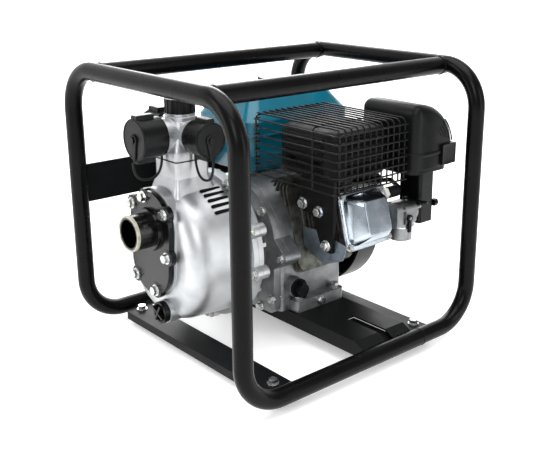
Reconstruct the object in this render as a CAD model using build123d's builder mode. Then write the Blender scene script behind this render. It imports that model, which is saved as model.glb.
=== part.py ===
from build123d import *
import os
from math import cos, sin, radians

os.makedirs("parts", exist_ok=True)

# ---------------------------------------------------------------- frame sizes (mm)
tube_r = 12.7
tube_wall = 2.0
half_len = 217.05          # post centres along the crankshaft
half_wid = 195.65          # post centres across
low_z = 22.0               # centre of the bottom tubes
top_z = 408.4              # centre of the crossbars
bend_r = 60.0
rail_y = 133.06            # long top tubes
rail_z = 406.7
seam_x = 110.0             # where the two bent tubes meet
spigot_r = tube_r - tube_wall - 0.1
sheet = 2.5

# ---------------------------------------------------------------- shared axes
crank_y = 58.0
crank_z = 148.0
base_top = 42.0
cyl_x = 80.0               # cylinder axis along the crankshaft
tilt = 15.0                # cylinder above horizontal, degrees
neck_x = -125.0            # pump outlet neck

axis_u = (0, -cos(radians(tilt)), sin(radians(tilt)))
crank_axis = Axis((0, crank_y, crank_z), (1, 0, 0))
meridian = Plane(origin=(0, crank_y, crank_z), x_dir=(1, 0, 0), z_dir=(0, -1, 0))
cylinder = Plane(origin=(cyl_x, crank_y, crank_z), x_dir=(1, 0, 0), z_dir=axis_u)

# ---------------------------------------------------------------- pump sizes
nose_x = -218.0
nose_z = 191.0
nose_r = 25.5
nose_bore = 20.5
flange_front = -183.0
flange_back = -175.0
shell_front = -172.0
shoulder_x = -140.0
shell_rear = -84.0
joint_x = -75.2
cover_x0, cover_x1 = -75.0, -57.0
shell_r = 103.0
shell_wall = 7.0
disc_r = 111.0
neck_half = 28.0
neck_top = 286.0
port_z = 322.0
shaft_r = 9.0
impeller_r = 60.0

# ---------------------------------------------------------------- engine sizes
pto_x = -50.0
case_x0, case_x1 = -15.0, 118.0
foot_x = (12.0, 87.5)
foot_y = (crank_y - 96.0, crank_y + 66.0)
journal_r = 12.5
throw = 27.0
bore_r = 34.0
gear_r = 20.0
web_r = 42.0
cam_y = crank_y
cam_z = crank_z - 3 * gear_r
fan_x0, fan_x1 = 130.0, 170.0
fan_r = 112.0


def hex_bolts(points, plane, head_r=6.5, head=5.5, flange=8.5, shank_r=4.0, shank=20.0):
    """Flange bolts: washer face on the plane, head above it, shank below."""
    with BuildPart(mode=Mode.PRIVATE) as made:
        with BuildSketch(plane):
            with Locations(*points):
                Circle(flange)
        extrude(amount=1.6)
        with BuildSketch(plane.offset(1.6)):
            with Locations(*points):
                RegularPolygon(head_r, 6)
        extrude(amount=head)
        with BuildSketch(plane):
            with Locations(*points):
                Circle(shank_r)
        extrude(amount=-shank)
    return made.part


# ================================================================ frame
with BuildPart() as frame_hoop_pump:
    with BuildLine() as route:
        FilletPolyline(
            (seam_x, -half_wid, low_z),
            (-half_len, -half_wid, low_z),
            (-half_len, -half_wid, top_z),
            (-half_len, half_wid, top_z),
            (-half_len, half_wid, low_z),
            (seam_x, half_wid, low_z),
            radius=bend_r,
        )
    with BuildSketch(Plane(origin=route.line @ 0, z_dir=route.line % 0)):
        Circle(tube_r)
        Circle(tube_r - tube_wall, mode=Mode.SUBTRACT)
    sweep()
frame_hoop_pump.part.label = "frame_hoop_pump"
export_step(frame_hoop_pump.part, "parts/frame_hoop_pump.step")

with BuildPart() as frame_hoop_engine:
    with BuildLine() as route:
        FilletPolyline(
            (seam_x + 0.4, -half_wid, low_z),
            (half_len, -half_wid, low_z),
            (half_len, -half_wid, top_z),
            (half_len, half_wid, top_z),
            (half_len, half_wid, low_z),
            (seam_x + 0.4, half_wid, low_z),
            radius=bend_r,
        )
    with BuildSketch(Plane(origin=route.line @ 0, z_dir=route.line % 0)):
        Circle(tube_r - 0.5)
        Circle(tube_r - tube_wall - 0.5, mode=Mode.SUBTRACT)
    sweep()
    with BuildSketch(Plane.YZ.offset(seam_x - 25.0)):
        with Locations((-half_wid, low_z), (half_wid, low_z)):
            Circle(spigot_r)
            Circle(spigot_r - tube_wall, mode=Mode.SUBTRACT)
    extrude(amount=33.0)
frame_hoop_engine.part.label = "frame_hoop_engine"
export_step(frame_hoop_engine.part, "parts/frame_hoop_engine.step")

with BuildPart() as frame_rails:
    with BuildSketch(Plane.YZ.offset(-half_len)):
        with Locations((-rail_y, rail_z), (rail_y, rail_z)):
            Circle(tube_r)
            Circle(tube_r - tube_wall, mode=Mode.SUBTRACT)
    extrude(amount=2 * half_len)
    with BuildSketch(Plane.XZ.offset(-half_wid)):
        with Locations((-half_len, top_z), (half_len, top_z)):
            Circle(tube_r + 0.05)
    extrude(amount=2 * half_wid, mode=Mode.SUBTRACT)
    add(frame_hoop_pump.part, mode=Mode.SUBTRACT)
    add(frame_hoop_engine.part, mode=Mode.SUBTRACT)
frame_rails.part.label = "frame_rails"
export_step(frame_rails.part, "parts/frame_rails.step")

# cross channel under the pump, open side down, coped to the side tubes
chan_x0, chan_x1, chan_deep = -164.0, -120.0, 12.5
pad_x, pad_y = -142.0, 162.0
with BuildPart() as frame_channel:
    with BuildSketch(Plane.XZ.offset(-half_wid)):
        with BuildLine():
            Polyline(
                (chan_x0, low_z - chan_deep),
                (chan_x0, low_z),
                (chan_x1, low_z),
                (chan_x1, low_z - chan_deep),
                (chan_x1 - sheet, low_z - chan_deep),
                (chan_x1 - sheet, low_z - sheet),
                (chan_x0 + sheet, low_z - sheet),
                (chan_x0 + sheet, low_z - chan_deep),
                close=True,
            )
        make_face()
    extrude(amount=2 * half_wid)
    with BuildSketch(Plane.YZ.offset(chan_x0 - 5)):
        with Locations((-half_wid, low_z), (half_wid, low_z)):
            Circle(tube_r + 0.05)
            Rectangle(2 * tube_r, 60, align=(Align.MAX, Align.CENTER))
        with Locations((half_wid, low_z)):
            Rectangle(2 * tube_r, 60, align=(Align.MIN, Align.CENTER))
    extrude(amount=60, mode=Mode.SUBTRACT)
    with BuildSketch(Plane.XY.offset(low_z - 20)):
        with Locations((pad_x, -pad_y), (pad_x, pad_y)):
            Circle(4.3)
    extrude(amount=40, mode=Mode.SUBTRACT)
frame_channel.part.label = "frame_channel"
export_step(frame_channel.part, "parts/frame_channel.step")

# stamped engine base: raised middle with a slot at each end, low ledge on the engine side
hat_x0, hat_x1, ledge_x = -2.0, 98.0, 152.0
foot_pad_x, foot_pad_y = 138.5, 160.0
slope_y = 174.0
with BuildPart() as engine_base:
    with BuildSketch(Plane.XZ.offset(-slope_y)):
        with BuildLine():
            Polyline(
                (hat_x0, low_z - 2),
                (hat_x0, base_top),
                (hat_x1, base_top),
                (hat_x1, low_z),
                (ledge_x, low_z),
                (ledge_x, low_z - sheet),
                (hat_x1 - sheet, low_z - sheet),
                (hat_x1 - sheet, base_top - sheet),
                (hat_x0 + sheet, base_top - sheet),
                (hat_x0 + sheet, low_z - 2),
                close=True,
            )
        make_face()
    extrude(amount=2 * slope_y)
    for side in (-1, 1):
        with BuildSketch(Plane.YZ.offset(hat_x0)):
            with BuildLine():
                Polyline(
                    (side * slope_y, base_top),
                    (side * (half_wid - 6.5), low_z + 11.8),
                    (side * (half_wid - 7.8), low_z + 9.6),
                    (side * slope_y, base_top - sheet - 0.5),
                    close=True,
                )
            make_face()
        extrude(amount=hat_x1 - hat_x0)
        with BuildSketch(Plane.YZ.offset(hat_x0)):
            with BuildLine():
                Polyline(
                    (side * slope_y, base_top - 0.5),
                    (side * (half_wid - 7.5), low_z + 11.2),
                    (side * (half_wid - tube_r), low_z - 2),
                    (side * slope_y, low_z - 2),
                    close=True,
                )
            make_face()
        extrude(amount=sheet)
        with BuildSketch(Plane.XY.offset(low_z - sheet)):
            with Locations(((hat_x1 + ledge_x) / 2, side * (slope_y + 4.5))):
                Rectangle(ledge_x - hat_x1, 10)
        extrude(amount=sheet)
        with BuildSketch(Plane.XY.offset(base_top - 16)):
            with Locations((52.0, side * 155.0)):
                Rectangle(16, 90)
        extrude(amount=20, mode=Mode.SUBTRACT)
    with BuildSketch(Plane.YZ.offset(hat_x0 - 5)):
        with Locations((-half_wid, low_z), (half_wid, low_z)):
            Circle(tube_r + 0.05)
    extrude(amount=170, mode=Mode.SUBTRACT)
    with BuildSketch(Plane.XY.offset(low_z - 10)):
        with Locations(*[(x, y) for x in foot_x for y in foot_y]):
            Circle(4.5)
        with Locations((foot_pad_x, -foot_pad_y), (foot_pad_x, foot_pad_y)):
            Circle(4.3)
    extrude(amount=40, mode=Mode.SUBTRACT)
engine_base.part.label = "engine_base"
export_step(engine_base.part, "parts/engine_base.step")

with BuildPart() as frame_back_plate:
    with BuildSketch(Plane.XZ.offset(-half_wid - 1.5)):
        with Locations((0, 234)):
            RectangleRounded(2 * (half_len - tube_r) - 0.2, 58, 1.0)
    extrude(amount=3.0)
frame_back_plate.part.label = "frame_back_plate"
export_step(frame_back_plate.part, "parts/frame_back_plate.step")

pads = [(pad_x, -pad_y), (pad_x, pad_y), (foot_pad_x, -foot_pad_y), (foot_pad_x, foot_pad_y)]
with BuildPart() as rubber_feet:
    with BuildSketch(Plane.XY.offset(low_z - sheet)):
        with Locations(*pads):
            Circle(12.5)
    extrude(amount=-(low_z - sheet), taper=5)
    with BuildSketch(Plane.XY):
        with Locations(*pads):
            Circle(8.0)
    extrude(amount=6.0, mode=Mode.SUBTRACT)
    with BuildSketch(Plane.XY):
        with Locations(*pads):
            Circle(4.1)
    extrude(amount=40, mode=Mode.SUBTRACT)
rubber_feet.part.label = "rubber_feet"
export_step(rubber_feet.part, "parts/rubber_feet.step")

with BuildPart() as frame_bolts:
    add(hex_bolts(pads, Plane.XY.offset(low_z), shank=15.0))
frame_bolts.part.label = "frame_bolts"
export_step(frame_bolts.part, "parts/frame_bolts.step")

# ================================================================ pump
seat = [((60.0, 196.0), 50.0), ((62.0, 139.0), 47.0)]
flange_bolt_at = [(71, 236), (20, 220), (17, 158), (49, 101), (100, 112), (103, 220)]
drain_at = (38.0, 70.0)
rear_bolt_at = [
    (crank_y + 112.0 * cos(radians(a)), crank_z + 112.0 * sin(radians(a)))
    for a in (22.0, 62.0, 118.0, 158.0, 190.0, 232.0, 270.0, 308.0, 345.0)
]

with BuildPart() as pump_casing:
    with BuildSketch(meridian):
        with BuildLine():
            Polyline(
                (shell_front, 0),
                (shell_front + shell_wall, 0),
                (shell_front + shell_wall, 66),
            )
            Bezier(
                (shell_front + shell_wall, 66),
                (-163, 84),
                (-153, 92),
                (shoulder_x + 2, 93),
            )
            Polyline(
                (shoulder_x + 2, 93),
                (joint_x, 96),
                (joint_x, disc_r),
                (shell_rear, disc_r),
                (shell_rear, shell_r),
                (shoulder_x, 100),
            )
            Bezier((shoulder_x, 100), (-158, 99), (-170, 90), (shell_front, 70))
            Line((shell_front, 70), (shell_front, 0))
        make_face()
    revolve(axis=crank_axis)
    with BuildSketch(Plane.YZ.offset(shell_rear)):
        with Locations(*rear_bolt_at):
            Circle(10.0)
    extrude(amount=joint_x - shell_rear)
    # square neck flaring into the shell
    with BuildSketch(Plane.XY.offset(222)):
        with Locations((neck_x + 2, crank_y)):
            RectangleRounded(84, 84, 10)
    with BuildSketch(Plane.XY.offset(262)):
        with Locations((neck_x, crank_y)):
            RectangleRounded(2 * neck_half, 2 * neck_half, 5)
    loft()
    with BuildSketch(Plane.XY.offset(262)):
        with Locations((neck_x, crank_y)):
            RectangleRounded(2 * neck_half, 2 * neck_half, 5)
    extrude(amount=neck_top - 262)
    # pear shaped seat for the suction flange
    with BuildSketch(Plane.YZ.offset(flange_back + 0.1)):
        with Locations(seat[0][0]):
            Circle(seat[0][1] + 3)
        with Locations(seat[1][0]):
            Circle(seat[1][1] + 3)
        make_hull()
    extrude(amount=16)
    # boss for the drain plug
    with BuildSketch(Plane.YZ.offset(-178.0)):
        with Locations(drain_at):
            Circle(17.0)
    extrude(amount=40)
    # clear the inside again
    with BuildSketch(meridian):
        with BuildLine():
            Polyline((joint_x + 1, 0), (shell_front + shell_wall, 0), (shell_front + shell_wall, 66))
            Bezier(
                (shell_front + shell_wall, 66),
                (-163, 84),
                (-153, 92),
                (shoulder_x + 2, 93),
            )
            Polyline((shoulder_x + 2, 93), (joint_x + 1, 96), (joint_x + 1, 0))
        make_face()
    revolve(axis=crank_axis, mode=Mode.SUBTRACT)
    with BuildSketch(Plane.XY.offset(crank_z + 60)):
        with Locations((neck_x, crank_y)):
            RectangleRounded(40, 40, 6)
    extrude(amount=200, mode=Mode.SUBTRACT)
    with BuildSketch(Plane.YZ.offset(-200)):
        with Locations((crank_y, nose_z)):
            Circle(33.0)
        with Locations(drain_at):
            Circle(10.0)
        with Locations(*flange_bolt_at):
            Circle(4.2)
    extrude(amount=40, mode=Mode.SUBTRACT)
    with BuildSketch(Plane.YZ.offset(-90)):
        with Locations(*rear_bolt_at):
            Circle(4.2)
    extrude(amount=30, mode=Mode.SUBTRACT)
    # cooling slots in the upper viewer-side quarter of the barrel
    for turn in (112, 118, 124, 130, 136):
        with BuildSketch(Plane.YZ.offset(-122)):
            with Locations(
                (
                    crank_y + shell_r * cos(radians(turn)),
                    crank_z + shell_r * sin(radians(turn)),
                )
            ):
                Rectangle(9, 4.4, rotation=turn)
        extrude(amount=34, mode=Mode.SUBTRACT)
pump_casing.part.label = "pump_casing"
export_step(pump_casing.part, "parts/pump_casing.step")

with BuildPart() as pump_rear_cover:
    with BuildSketch(meridian):
        with BuildLine():
            Polyline(
                (cover_x0, 19),
                (cover_x0, 97),
                (cover_x0, disc_r),
                (cover_x0 + 9, disc_r),
                (cover_x0 + 9, 99),
                (cover_x1 - 2, 92),
                (pto_x - 0.2, 84),
                (pto_x - 0.2, 72),
                (cover_x1 - 6, 66),
                (cover_x1 - 6, 34),
                (pto_x - 0.2, 32),
                (pto_x - 0.2, 19),
                close=True,
            )
        make_face()
    revolve(axis=crank_axis)
    with BuildSketch(Plane.YZ.offset(cover_x0)):
        with Locations(*rear_bolt_at):
            Circle(10.0)
    extrude(amount=12)
    # stiffening ribs from the rim to the hub ring
    for turn in range(10, 360, 40):
        with BuildSketch(Plane.YZ.offset(cover_x0 + 8)):
            with Locations(
                (
                    crank_y + 90 * cos(radians(turn)),
                    crank_z + 90 * sin(radians(turn)),
                )
            ):
                Rectangle(38, 6, rotation=turn)
        extrude(amount=8)
    with BuildSketch(Plane.YZ.offset(cover_x0 - 5)):
        with Locations(*rear_bolt_at):
            Circle(4.2)
        with Locations((crank_y, crank_z)):
            with PolarLocations(50, 4, start_angle=45):
                Circle(4.3)
    extrude(amount=60, mode=Mode.SUBTRACT)
pump_rear_cover.part.label = "pump_rear_cover"
export_step(pump_rear_cover.part, "parts/pump_rear_cover.step")

rim_face = Plane(origin=(shell_rear, 0, 0), x_dir=(0, -1, 0), z_dir=(-1, 0, 0))
with BuildPart() as pump_bolts:
    add(hex_bolts([(-y, z) for y, z in rear_bolt_at], rim_face, shank=20.0))
pump_bolts.part.label = "pump_bolts"
export_step(pump_bolts.part, "parts/pump_bolts.step")

with BuildPart() as pump_volute:
    with BuildSketch(meridian):
        with BuildLine():
            Polyline(
                (-134, 22),
                (-134, 26),
                (-119, 30),
                (-119, 66),
                (-119, 82),
                (-84, 86),
                (-84, 92),
                (joint_x - 0.4, 92),
                (joint_x - 0.4, 80),
                (-86, 78),
                (-113, 74),
                (-115, 30),
                (-115, 22),
                close=True,
            )
        make_face()
    revolve(axis=crank_axis)
    # throat to the outlet
    with BuildSketch(Plane.XY.offset(crank_z + 60)):
        with Locations((-100, crank_y)):
            Circle(13)
    extrude(amount=40, mode=Mode.SUBTRACT)
pump_volute.part.label = "pump_volute"
export_step(pump_volute.part, "parts/pump_volute.step")

with BuildPart() as impeller:
    with BuildSketch(meridian):
        with BuildLine():
            Polyline(
                (-112, shaft_r + 0.02),
                (-112, 15),
                (-97, 24),
                (-93, impeller_r),
                (-89, impeller_r),
                (-89, shaft_r + 0.02),
                close=True,
            )
        make_face()
    revolve(axis=crank_axis)
    for blade in range(6):
        turn = 60.0 * blade
        with BuildSketch(Plane.YZ.offset(-93.5)):
            with BuildLine() as camber:
                ThreePointArc(
                    (
                        crank_y + 20 * cos(radians(turn)),
                        crank_z + 20 * sin(radians(turn)),
                    ),
                    (
                        crank_y + 42 * cos(radians(turn + 22)),
                        crank_z + 42 * sin(radians(turn + 22)),
                    ),
                    (
                        crank_y + 59 * cos(radians(turn + 58)),
                        crank_z + 59 * sin(radians(turn + 58)),
                    ),
                )
            trace(line_width=3.2)
        extrude(amount=-11)
impeller.part.label = "impeller"
export_step(impeller.part, "parts/impeller.step")

with BuildPart() as shaft_seal:
    with BuildSketch(meridian):
        with Locations((-81.5, 0)):
            with Locations((0, 14.0)):
                Rectangle(12, 8)
    revolve(axis=crank_axis)
    with BuildSketch(Plane.YZ.offset(-90)):
        with Locations((crank_y, crank_z)):
            Circle(shaft_r + 0.02)
    extrude(amount=20, mode=Mode.SUBTRACT)
shaft_seal.part.label = "shaft_seal"
export_step(shaft_seal.part, "parts/shaft_seal.step")

nose_at = (crank_y, nose_z)
with BuildPart() as suction_flange:
    with BuildSketch(Plane.YZ.offset(flange_front)):
        with Locations(seat[0][0]):
            Circle(seat[0][1])
        with Locations(seat[1][0]):
            Circle(seat[1][1])
        make_hull()
    extrude(amount=flange_back - flange_front)
    with BuildSketch(Plane.YZ.offset(flange_front - 0.5)):
        with Locations(*flange_bolt_at):
            Circle(12.0)
    extrude(amount=flange_back - flange_front + 0.5)
    with BuildSketch(Plane.YZ.offset(nose_x)):
        with Locations(nose_at):
            Circle(nose_r)
    extrude(amount=flange_back - nose_x)
    with BuildSketch(Plane.YZ.offset(flange_front - 6)):
        with Locations(nose_at):
            Circle(nose_r + 5)
    extrude(amount=7, taper=-12)
    with BuildSketch(Plane.YZ.offset(nose_x - 1)):
        with Locations(nose_at):
            Circle(nose_bore)
    extrude(amount=80, mode=Mode.SUBTRACT)
    with BuildSketch(Plane.YZ.offset(flange_front - 5)):
        with Locations(*flange_bolt_at):
            Circle(4.2)
    extrude(amount=40, mode=Mode.SUBTRACT)
    # ears the non-return flap hangs from
    with BuildSketch(Plane.YZ.offset(flange_back)):
        with Locations((crank_y - 13, nose_z + 26), (crank_y + 13, nose_z + 26)):
            Rectangle(4, 5)
    extrude(amount=7.5)
    with BuildSketch(Plane.XZ.offset(-crank_y - 16)):
        with Locations((flange_back + 4.5, nose_z + 26)):
            Circle(1.5)
    extrude(amount=32)
suction_flange.part.label = "suction_flange"
export_step(suction_flange.part, "parts/suction_flange.step")

front = Plane(origin=(flange_front - 0.5, 0, 0), x_dir=(0, -1, 0), z_dir=(-1, 0, 0))
with BuildPart() as suction_bolts:
    add(hex_bolts([(-y, z) for y, z in flange_bolt_at], front, shank=14.0))
suction_bolts.part.label = "suction_bolts"
export_step(suction_bolts.part, "parts/suction_bolts.step")

with BuildPart() as check_valve:
    with BuildSketch(Plane.YZ.offset(flange_back + 0.4)):
        with Locations(nose_at):
            Circle(23.5)
        with Locations((crank_y, nose_z + 20)):
            Rectangle(18, 14)
    extrude(amount=3.6)
    with BuildSketch(Plane.XZ.offset(-crank_y - 9)):
        with Locations((flange_back + 4.5, nose_z + 26)):
            Circle(3.6)
    extrude(amount=18)
    with BuildSketch(Plane.XZ.offset(-crank_y - 30)):
        with Locations((flange_back + 4.5, nose_z + 26)):
            Circle(1.58)
    extrude(amount=60, mode=Mode.SUBTRACT)
check_valve.part.label = "check_valve"
export_step(check_valve.part, "parts/check_valve.step")

with BuildPart() as drain_plug:
    with BuildSketch(Plane.YZ.offset(-187.0)):
        with Locations(drain_at):
            Circle(16.0)
    extrude(amount=8.6)
    with BuildSketch(Plane.YZ.offset(-179.0)):
        with Locations(drain_at):
            Circle(9.5)
    extrude(amount=16)
    with BuildSketch(Plane.YZ.offset(-187.5)):
        with Locations(drain_at):
            Circle(13.0)
    extrude(amount=4.0, mode=Mode.SUBTRACT)
    with BuildSketch(Plane.YZ.offset(-191.0)):
        with Locations(drain_at):
            Rectangle(27, 3.2, rotation=30)
            Rectangle(27, 3.2, rotation=120)
    extrude(amount=9.0)
drain_plug.part.label = "drain_plug"
export_step(drain_plug.part, "parts/drain_plug.step")

# ---------------------------------------------------------------- outlet manifold and caps
port_big_r = 24.0
port_small_r = 20.5
mani_z0, mani_z1 = neck_top + 1.3, 347.0
big_end, near_end, far_end = -165.0, 18.0, 98.0
with BuildPart() as outlet_manifold:
    with BuildSketch(Plane.XY.offset(mani_z0)):
        with Locations((neck_x, crank_y)):
            RectangleRounded(2 * neck_half + 1, 2 * neck_half + 1, 6)
    extrude(amount=12)
    with BuildSketch(Plane.XY.offset(mani_z0 + 12)):
        with Locations((neck_x, crank_y)):
            RectangleRounded(2 * neck_half + 1, 2 * neck_half + 1, 6)
    with BuildSketch(Plane.XY.offset(mani_z1 - 6)):
        with Locations((neck_x, crank_y)):
            RectangleRounded(50, 50, 22)
    loft()
    with BuildSketch(Plane.XY.offset(mani_z1 - 8)):
        with Locations((neck_x, crank_y)):
            Circle(24.0)
    extrude(amount=8)
    with BuildSketch(Plane.YZ.offset(big_end)):
        with Locations((crank_y, port_z)):
            Circle(port_big_r)
    extrude(amount=neck_x - big_end)
    with BuildSketch(Plane.YZ.offset(neck_x)):
        with Locations((crank_y, port_z)):
            Circle(19)
    extrude(amount=34)
    with BuildSketch(Plane.XZ.offset(-far_end)):
        with Locations((neck_x, port_z)):
            Circle(port_small_r)
    extrude(amount=far_end - near_end)
    with BuildSketch(Plane.XY.offset(mani_z1)):
        with Locations((neck_x, crank_y)):
            Circle(21.5)
    extrude(amount=4)
    with BuildSketch(Plane.XY.offset(mani_z1)):
        with Locations((neck_x, crank_y)):
            Circle(17.0)
    extrude(amount=16)
    # waterways
    with BuildSketch(Plane.XY.offset(mani_z0 - 1)):
        with Locations((neck_x, crank_y)):
            Circle(14.5)
    extrude(amount=90, mode=Mode.SUBTRACT)
    with BuildSketch(Plane.YZ.offset(big_end - 1)):
        with Locations((crank_y, port_z)):
            Circle(19.0)
    extrude(amount=neck_x - big_end, mode=Mode.SUBTRACT)
    with BuildSketch(Plane.XZ.offset(-far_end - 1)):
        with Locations((neck_x, port_z)):
            Circle(15.5)
    extrude(amount=far_end - near_end + 2, mode=Mode.SUBTRACT)
outlet_manifold.part.label = "outlet_manifold"
export_step(outlet_manifold.part, "parts/outlet_manifold.step")

with BuildPart() as manifold_gasket:
    with BuildSketch(Plane.XY.offset(neck_top + 0.1)):
        with Locations((neck_x, crank_y)):
            RectangleRounded(2 * neck_half + 3, 2 * neck_half + 3, 7)
            Circle(17.0, mode=Mode.SUBTRACT)
    extrude(amount=1.1)
manifold_gasket.part.label = "manifold_gasket"
export_step(manifold_gasket.part, "parts/manifold_gasket.step")


def threaded_cap(plane, port_r, cap_r, deep):
    """Cap with two side lugs and a centre button, its face on the plane, opening behind it."""
    with BuildPart(mode=Mode.PRIVATE) as made:
        with BuildSketch(plane.offset(1.0)):
            Circle(cap_r)
        extrude(amount=5.0)
        with BuildSketch(plane.offset(1.0)):
            Circle(cap_r - 1.0)
        extrude(amount=-deep)
        with BuildSketch(plane.offset(5.0)):
            with Locations((0, cap_r), (0, -cap_r)):
                RectangleRounded(15, 9, 3)
        extrude(amount=-deep * 0.8)
        with BuildSketch(plane.offset(0.4)):
            Circle(port_r + 0.5)
        extrude(amount=-deep - 1, mode=Mode.SUBTRACT)
        with BuildSketch(plane.offset(6.0)):
            Circle(5.0)
        extrude(amount=5.0)
    return made.part


def rod_along(points, bend, radius):
    """Round rod swept along straight runs joined by arcs."""
    with BuildPart(mode=Mode.PRIVATE) as made:
        with BuildLine() as route:
            FilletPolyline(*points, radius=bend)
        with BuildSketch(Plane(origin=route.line @ 0, z_dir=route.line % 0)):
            Circle(radius)
        sweep()
    return made.part


with BuildPart() as priming_cap:
    with BuildSketch(Plane.XY.offset(mani_z1 + 4.4)):
        with Locations((neck_x, crank_y)):
            Circle(20.6)
            with PolarLocations(20.4, 16):
                Circle(1.7)
    extrude(amount=20.0)
    with BuildSketch(Plane.XY.offset(mani_z1)):
        with Locations((neck_x, crank_y)):
            Circle(17.3)
    extrude(amount=16.5, mode=Mode.SUBTRACT)
    with BuildSketch(Plane.XY.offset(mani_z1 + 21.0)):
        with Locations((neck_x, crank_y)):
            Circle(15.5)
            Rectangle(28, 4.5, rotation=20, mode=Mode.SUBTRACT)
    extrude(amount=5.0, mode=Mode.SUBTRACT)
priming_cap.part.label = "priming_cap"
export_step(priming_cap.part, "parts/priming_cap.step")

big_face = Plane(origin=(big_end, crank_y, port_z), x_dir=(0, -1, 0), z_dir=(-1, 0, 0))
with BuildPart() as outlet_cap_large:
    add(threaded_cap(big_face.offset(30.0), port_big_r, 29.0, 34.0))
outlet_cap_large.part.label = "outlet_cap_large"
export_step(outlet_cap_large.part, "parts/outlet_cap_large.step")

near_face = Plane(origin=(neck_x, near_end, port_z), x_dir=(1, 0, 0), z_dir=(0, -1, 0))
with BuildPart() as outlet_cap_near:
    add(threaded_cap(near_face.offset(26.0), port_small_r, 25.0, 30.0))
outlet_cap_near.part.label = "outlet_cap_near"
export_step(outlet_cap_near.part, "parts/outlet_cap_near.step")

far_face = Plane(origin=(neck_x, far_end, port_z), x_dir=(-1, 0, 0), z_dir=(0, 1, 0))
with BuildPart() as outlet_cap_far:
    add(threaded_cap(far_face.offset(26.0), port_small_r, 25.0, 30.0))
outlet_cap_far.part.label = "outlet_cap_far"
export_step(outlet_cap_far.part, "parts/outlet_cap_far.step")

loop_z = 263.0


def loop_under(start, end):
    """Route of a cap tether: down, across and up to the port."""
    return [start, (start[0], start[1], loop_z), (end[0], end[1], loop_z), end]


with BuildPart() as tether_large:
    add(rod_along(loop_under((-204.5, crank_y, 290), (-158.0, crank_y, 296)), 12.0, 1.8))
tether_large.part.label = "tether_large"
export_step(tether_large.part, "parts/tether_large.step")

with BuildPart() as tether_near:
    add(rod_along(loop_under((neck_x, -18.0, 293), (neck_x, 24.0, 300)), 12.0, 1.8))
tether_near.part.label = "tether_near"
export_step(tether_near.part, "parts/tether_near.step")

with BuildPart() as tether_far:
    add(rod_along(loop_under((neck_x, 134.0, 293), (neck_x, 92.0, 300)), 12.0, 1.8))
tether_far.part.label = "tether_far"
export_step(tether_far.part, "parts/tether_far.step")

# ================================================================ engine
ear_at = (-44.0, 136.0)
cover_bolt_at = [
    (crank_y + 79 * cos(radians(a)), crank_z + 79 * sin(radians(a)))
    for a in (10, 55, 95, 140)
] + [ear_at, (-24.0, 66.0), (111.0, 66.0), (4.0, 46.2), (112.0, 96.0)]

with BuildPart() as crankcase:
    with BuildSketch(Plane.YZ.offset(case_x0)):
        with Locations((crank_y, crank_z)):
            Circle(88)
    extrude(amount=case_x1 - case_x0)
    with BuildSketch(Plane.XY.offset(base_top)):
        with Locations(((case_x0 + 112) / 2, 44)):
            RectangleRounded(112 - case_x0, 144, 8)
    extrude(amount=84)
    with BuildSketch(Plane.YZ.offset(case_x0)):
        with Locations(ear_at):
            Circle(10)
        with Locations((0, 120), (0, 160)):
            Circle(20)
        make_hull()
    extrude(amount=18)
    with BuildSketch(Plane.YZ.offset(12)):
        with Locations((76, 218)):
            Rectangle(50, 43.6)
    extrude(amount=46)
    with BuildSketch(Plane.XY.offset(base_top)):
        with Locations((50, 43)):
            RectangleRounded(96, 184, 6)
    extrude(amount=18)
    with BuildSketch(cylinder.offset(40)):
        RectangleRounded(98, 92, 8)
    extrude(amount=52)
    # oil filler boss on the viewer's side
    with BuildSketch(Plane.XZ.offset(30)):
        with Locations((6, 82)):
            Circle(15)
    extrude(amount=-14)
    with BuildSketch(Plane.XZ.offset(30)):
        with Locations((6, 82)):
            Circle(15)
    extrude(amount=14)
    # flat underside, hollow inside
    with BuildSketch(Plane.XY.offset(base_top - 60)):
        with Locations((50, 50)):
            Rectangle(300, 300)
    extrude(amount=60, mode=Mode.SUBTRACT)
    with BuildSketch(Plane.YZ.offset(case_x0 - 1)):
        with Locations((crank_y, crank_z)):
            Circle(66)
        with Locations((cam_y, cam_z)):
            Circle(41.6)
        with Locations((43.5, 80)):
            Rectangle(127, 60)
    extrude(amount=case_x1 - case_x0 - 6, mode=Mode.SUBTRACT)
    with BuildSketch(Plane.YZ.offset(case_x1 - 40)):
        with Locations((crank_y, crank_z)):
            Circle(journal_r + 0.06)
    extrude(amount=60, mode=Mode.SUBTRACT)
    with BuildSketch(cylinder.offset(20)):
        Circle(bore_r + 3.2)
    extrude(amount=80, mode=Mode.SUBTRACT)
    with BuildSketch(Plane.XY.offset(base_top - 5)):
        with Locations(*[(x, y) for x in foot_x for y in foot_y]):
            Circle(4.3)
    extrude(amount=40, mode=Mode.SUBTRACT)
    with BuildSketch(Plane.XY.offset(base_top + 18)):
        with Locations(*[(x, y) for x in foot_x for y in foot_y]):
            Circle(9.0)
    extrude(amount=12, mode=Mode.SUBTRACT)
    with BuildSketch(Plane.YZ.offset(case_x0 - 5)):
        with Locations(*cover_bolt_at):
            Circle(3.2)
    extrude(amount=25, mode=Mode.SUBTRACT)
    with BuildSketch(Plane.XZ.offset(52)):
        with Locations((6, 82)):
            Circle(9.5)
        with Locations((50, 51.5)):
            Circle(5.2)
    extrude(amount=-36, mode=Mode.SUBTRACT)
crankcase.part.label = "crankcase"
export_step(crankcase.part, "parts/crankcase.step")

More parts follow.
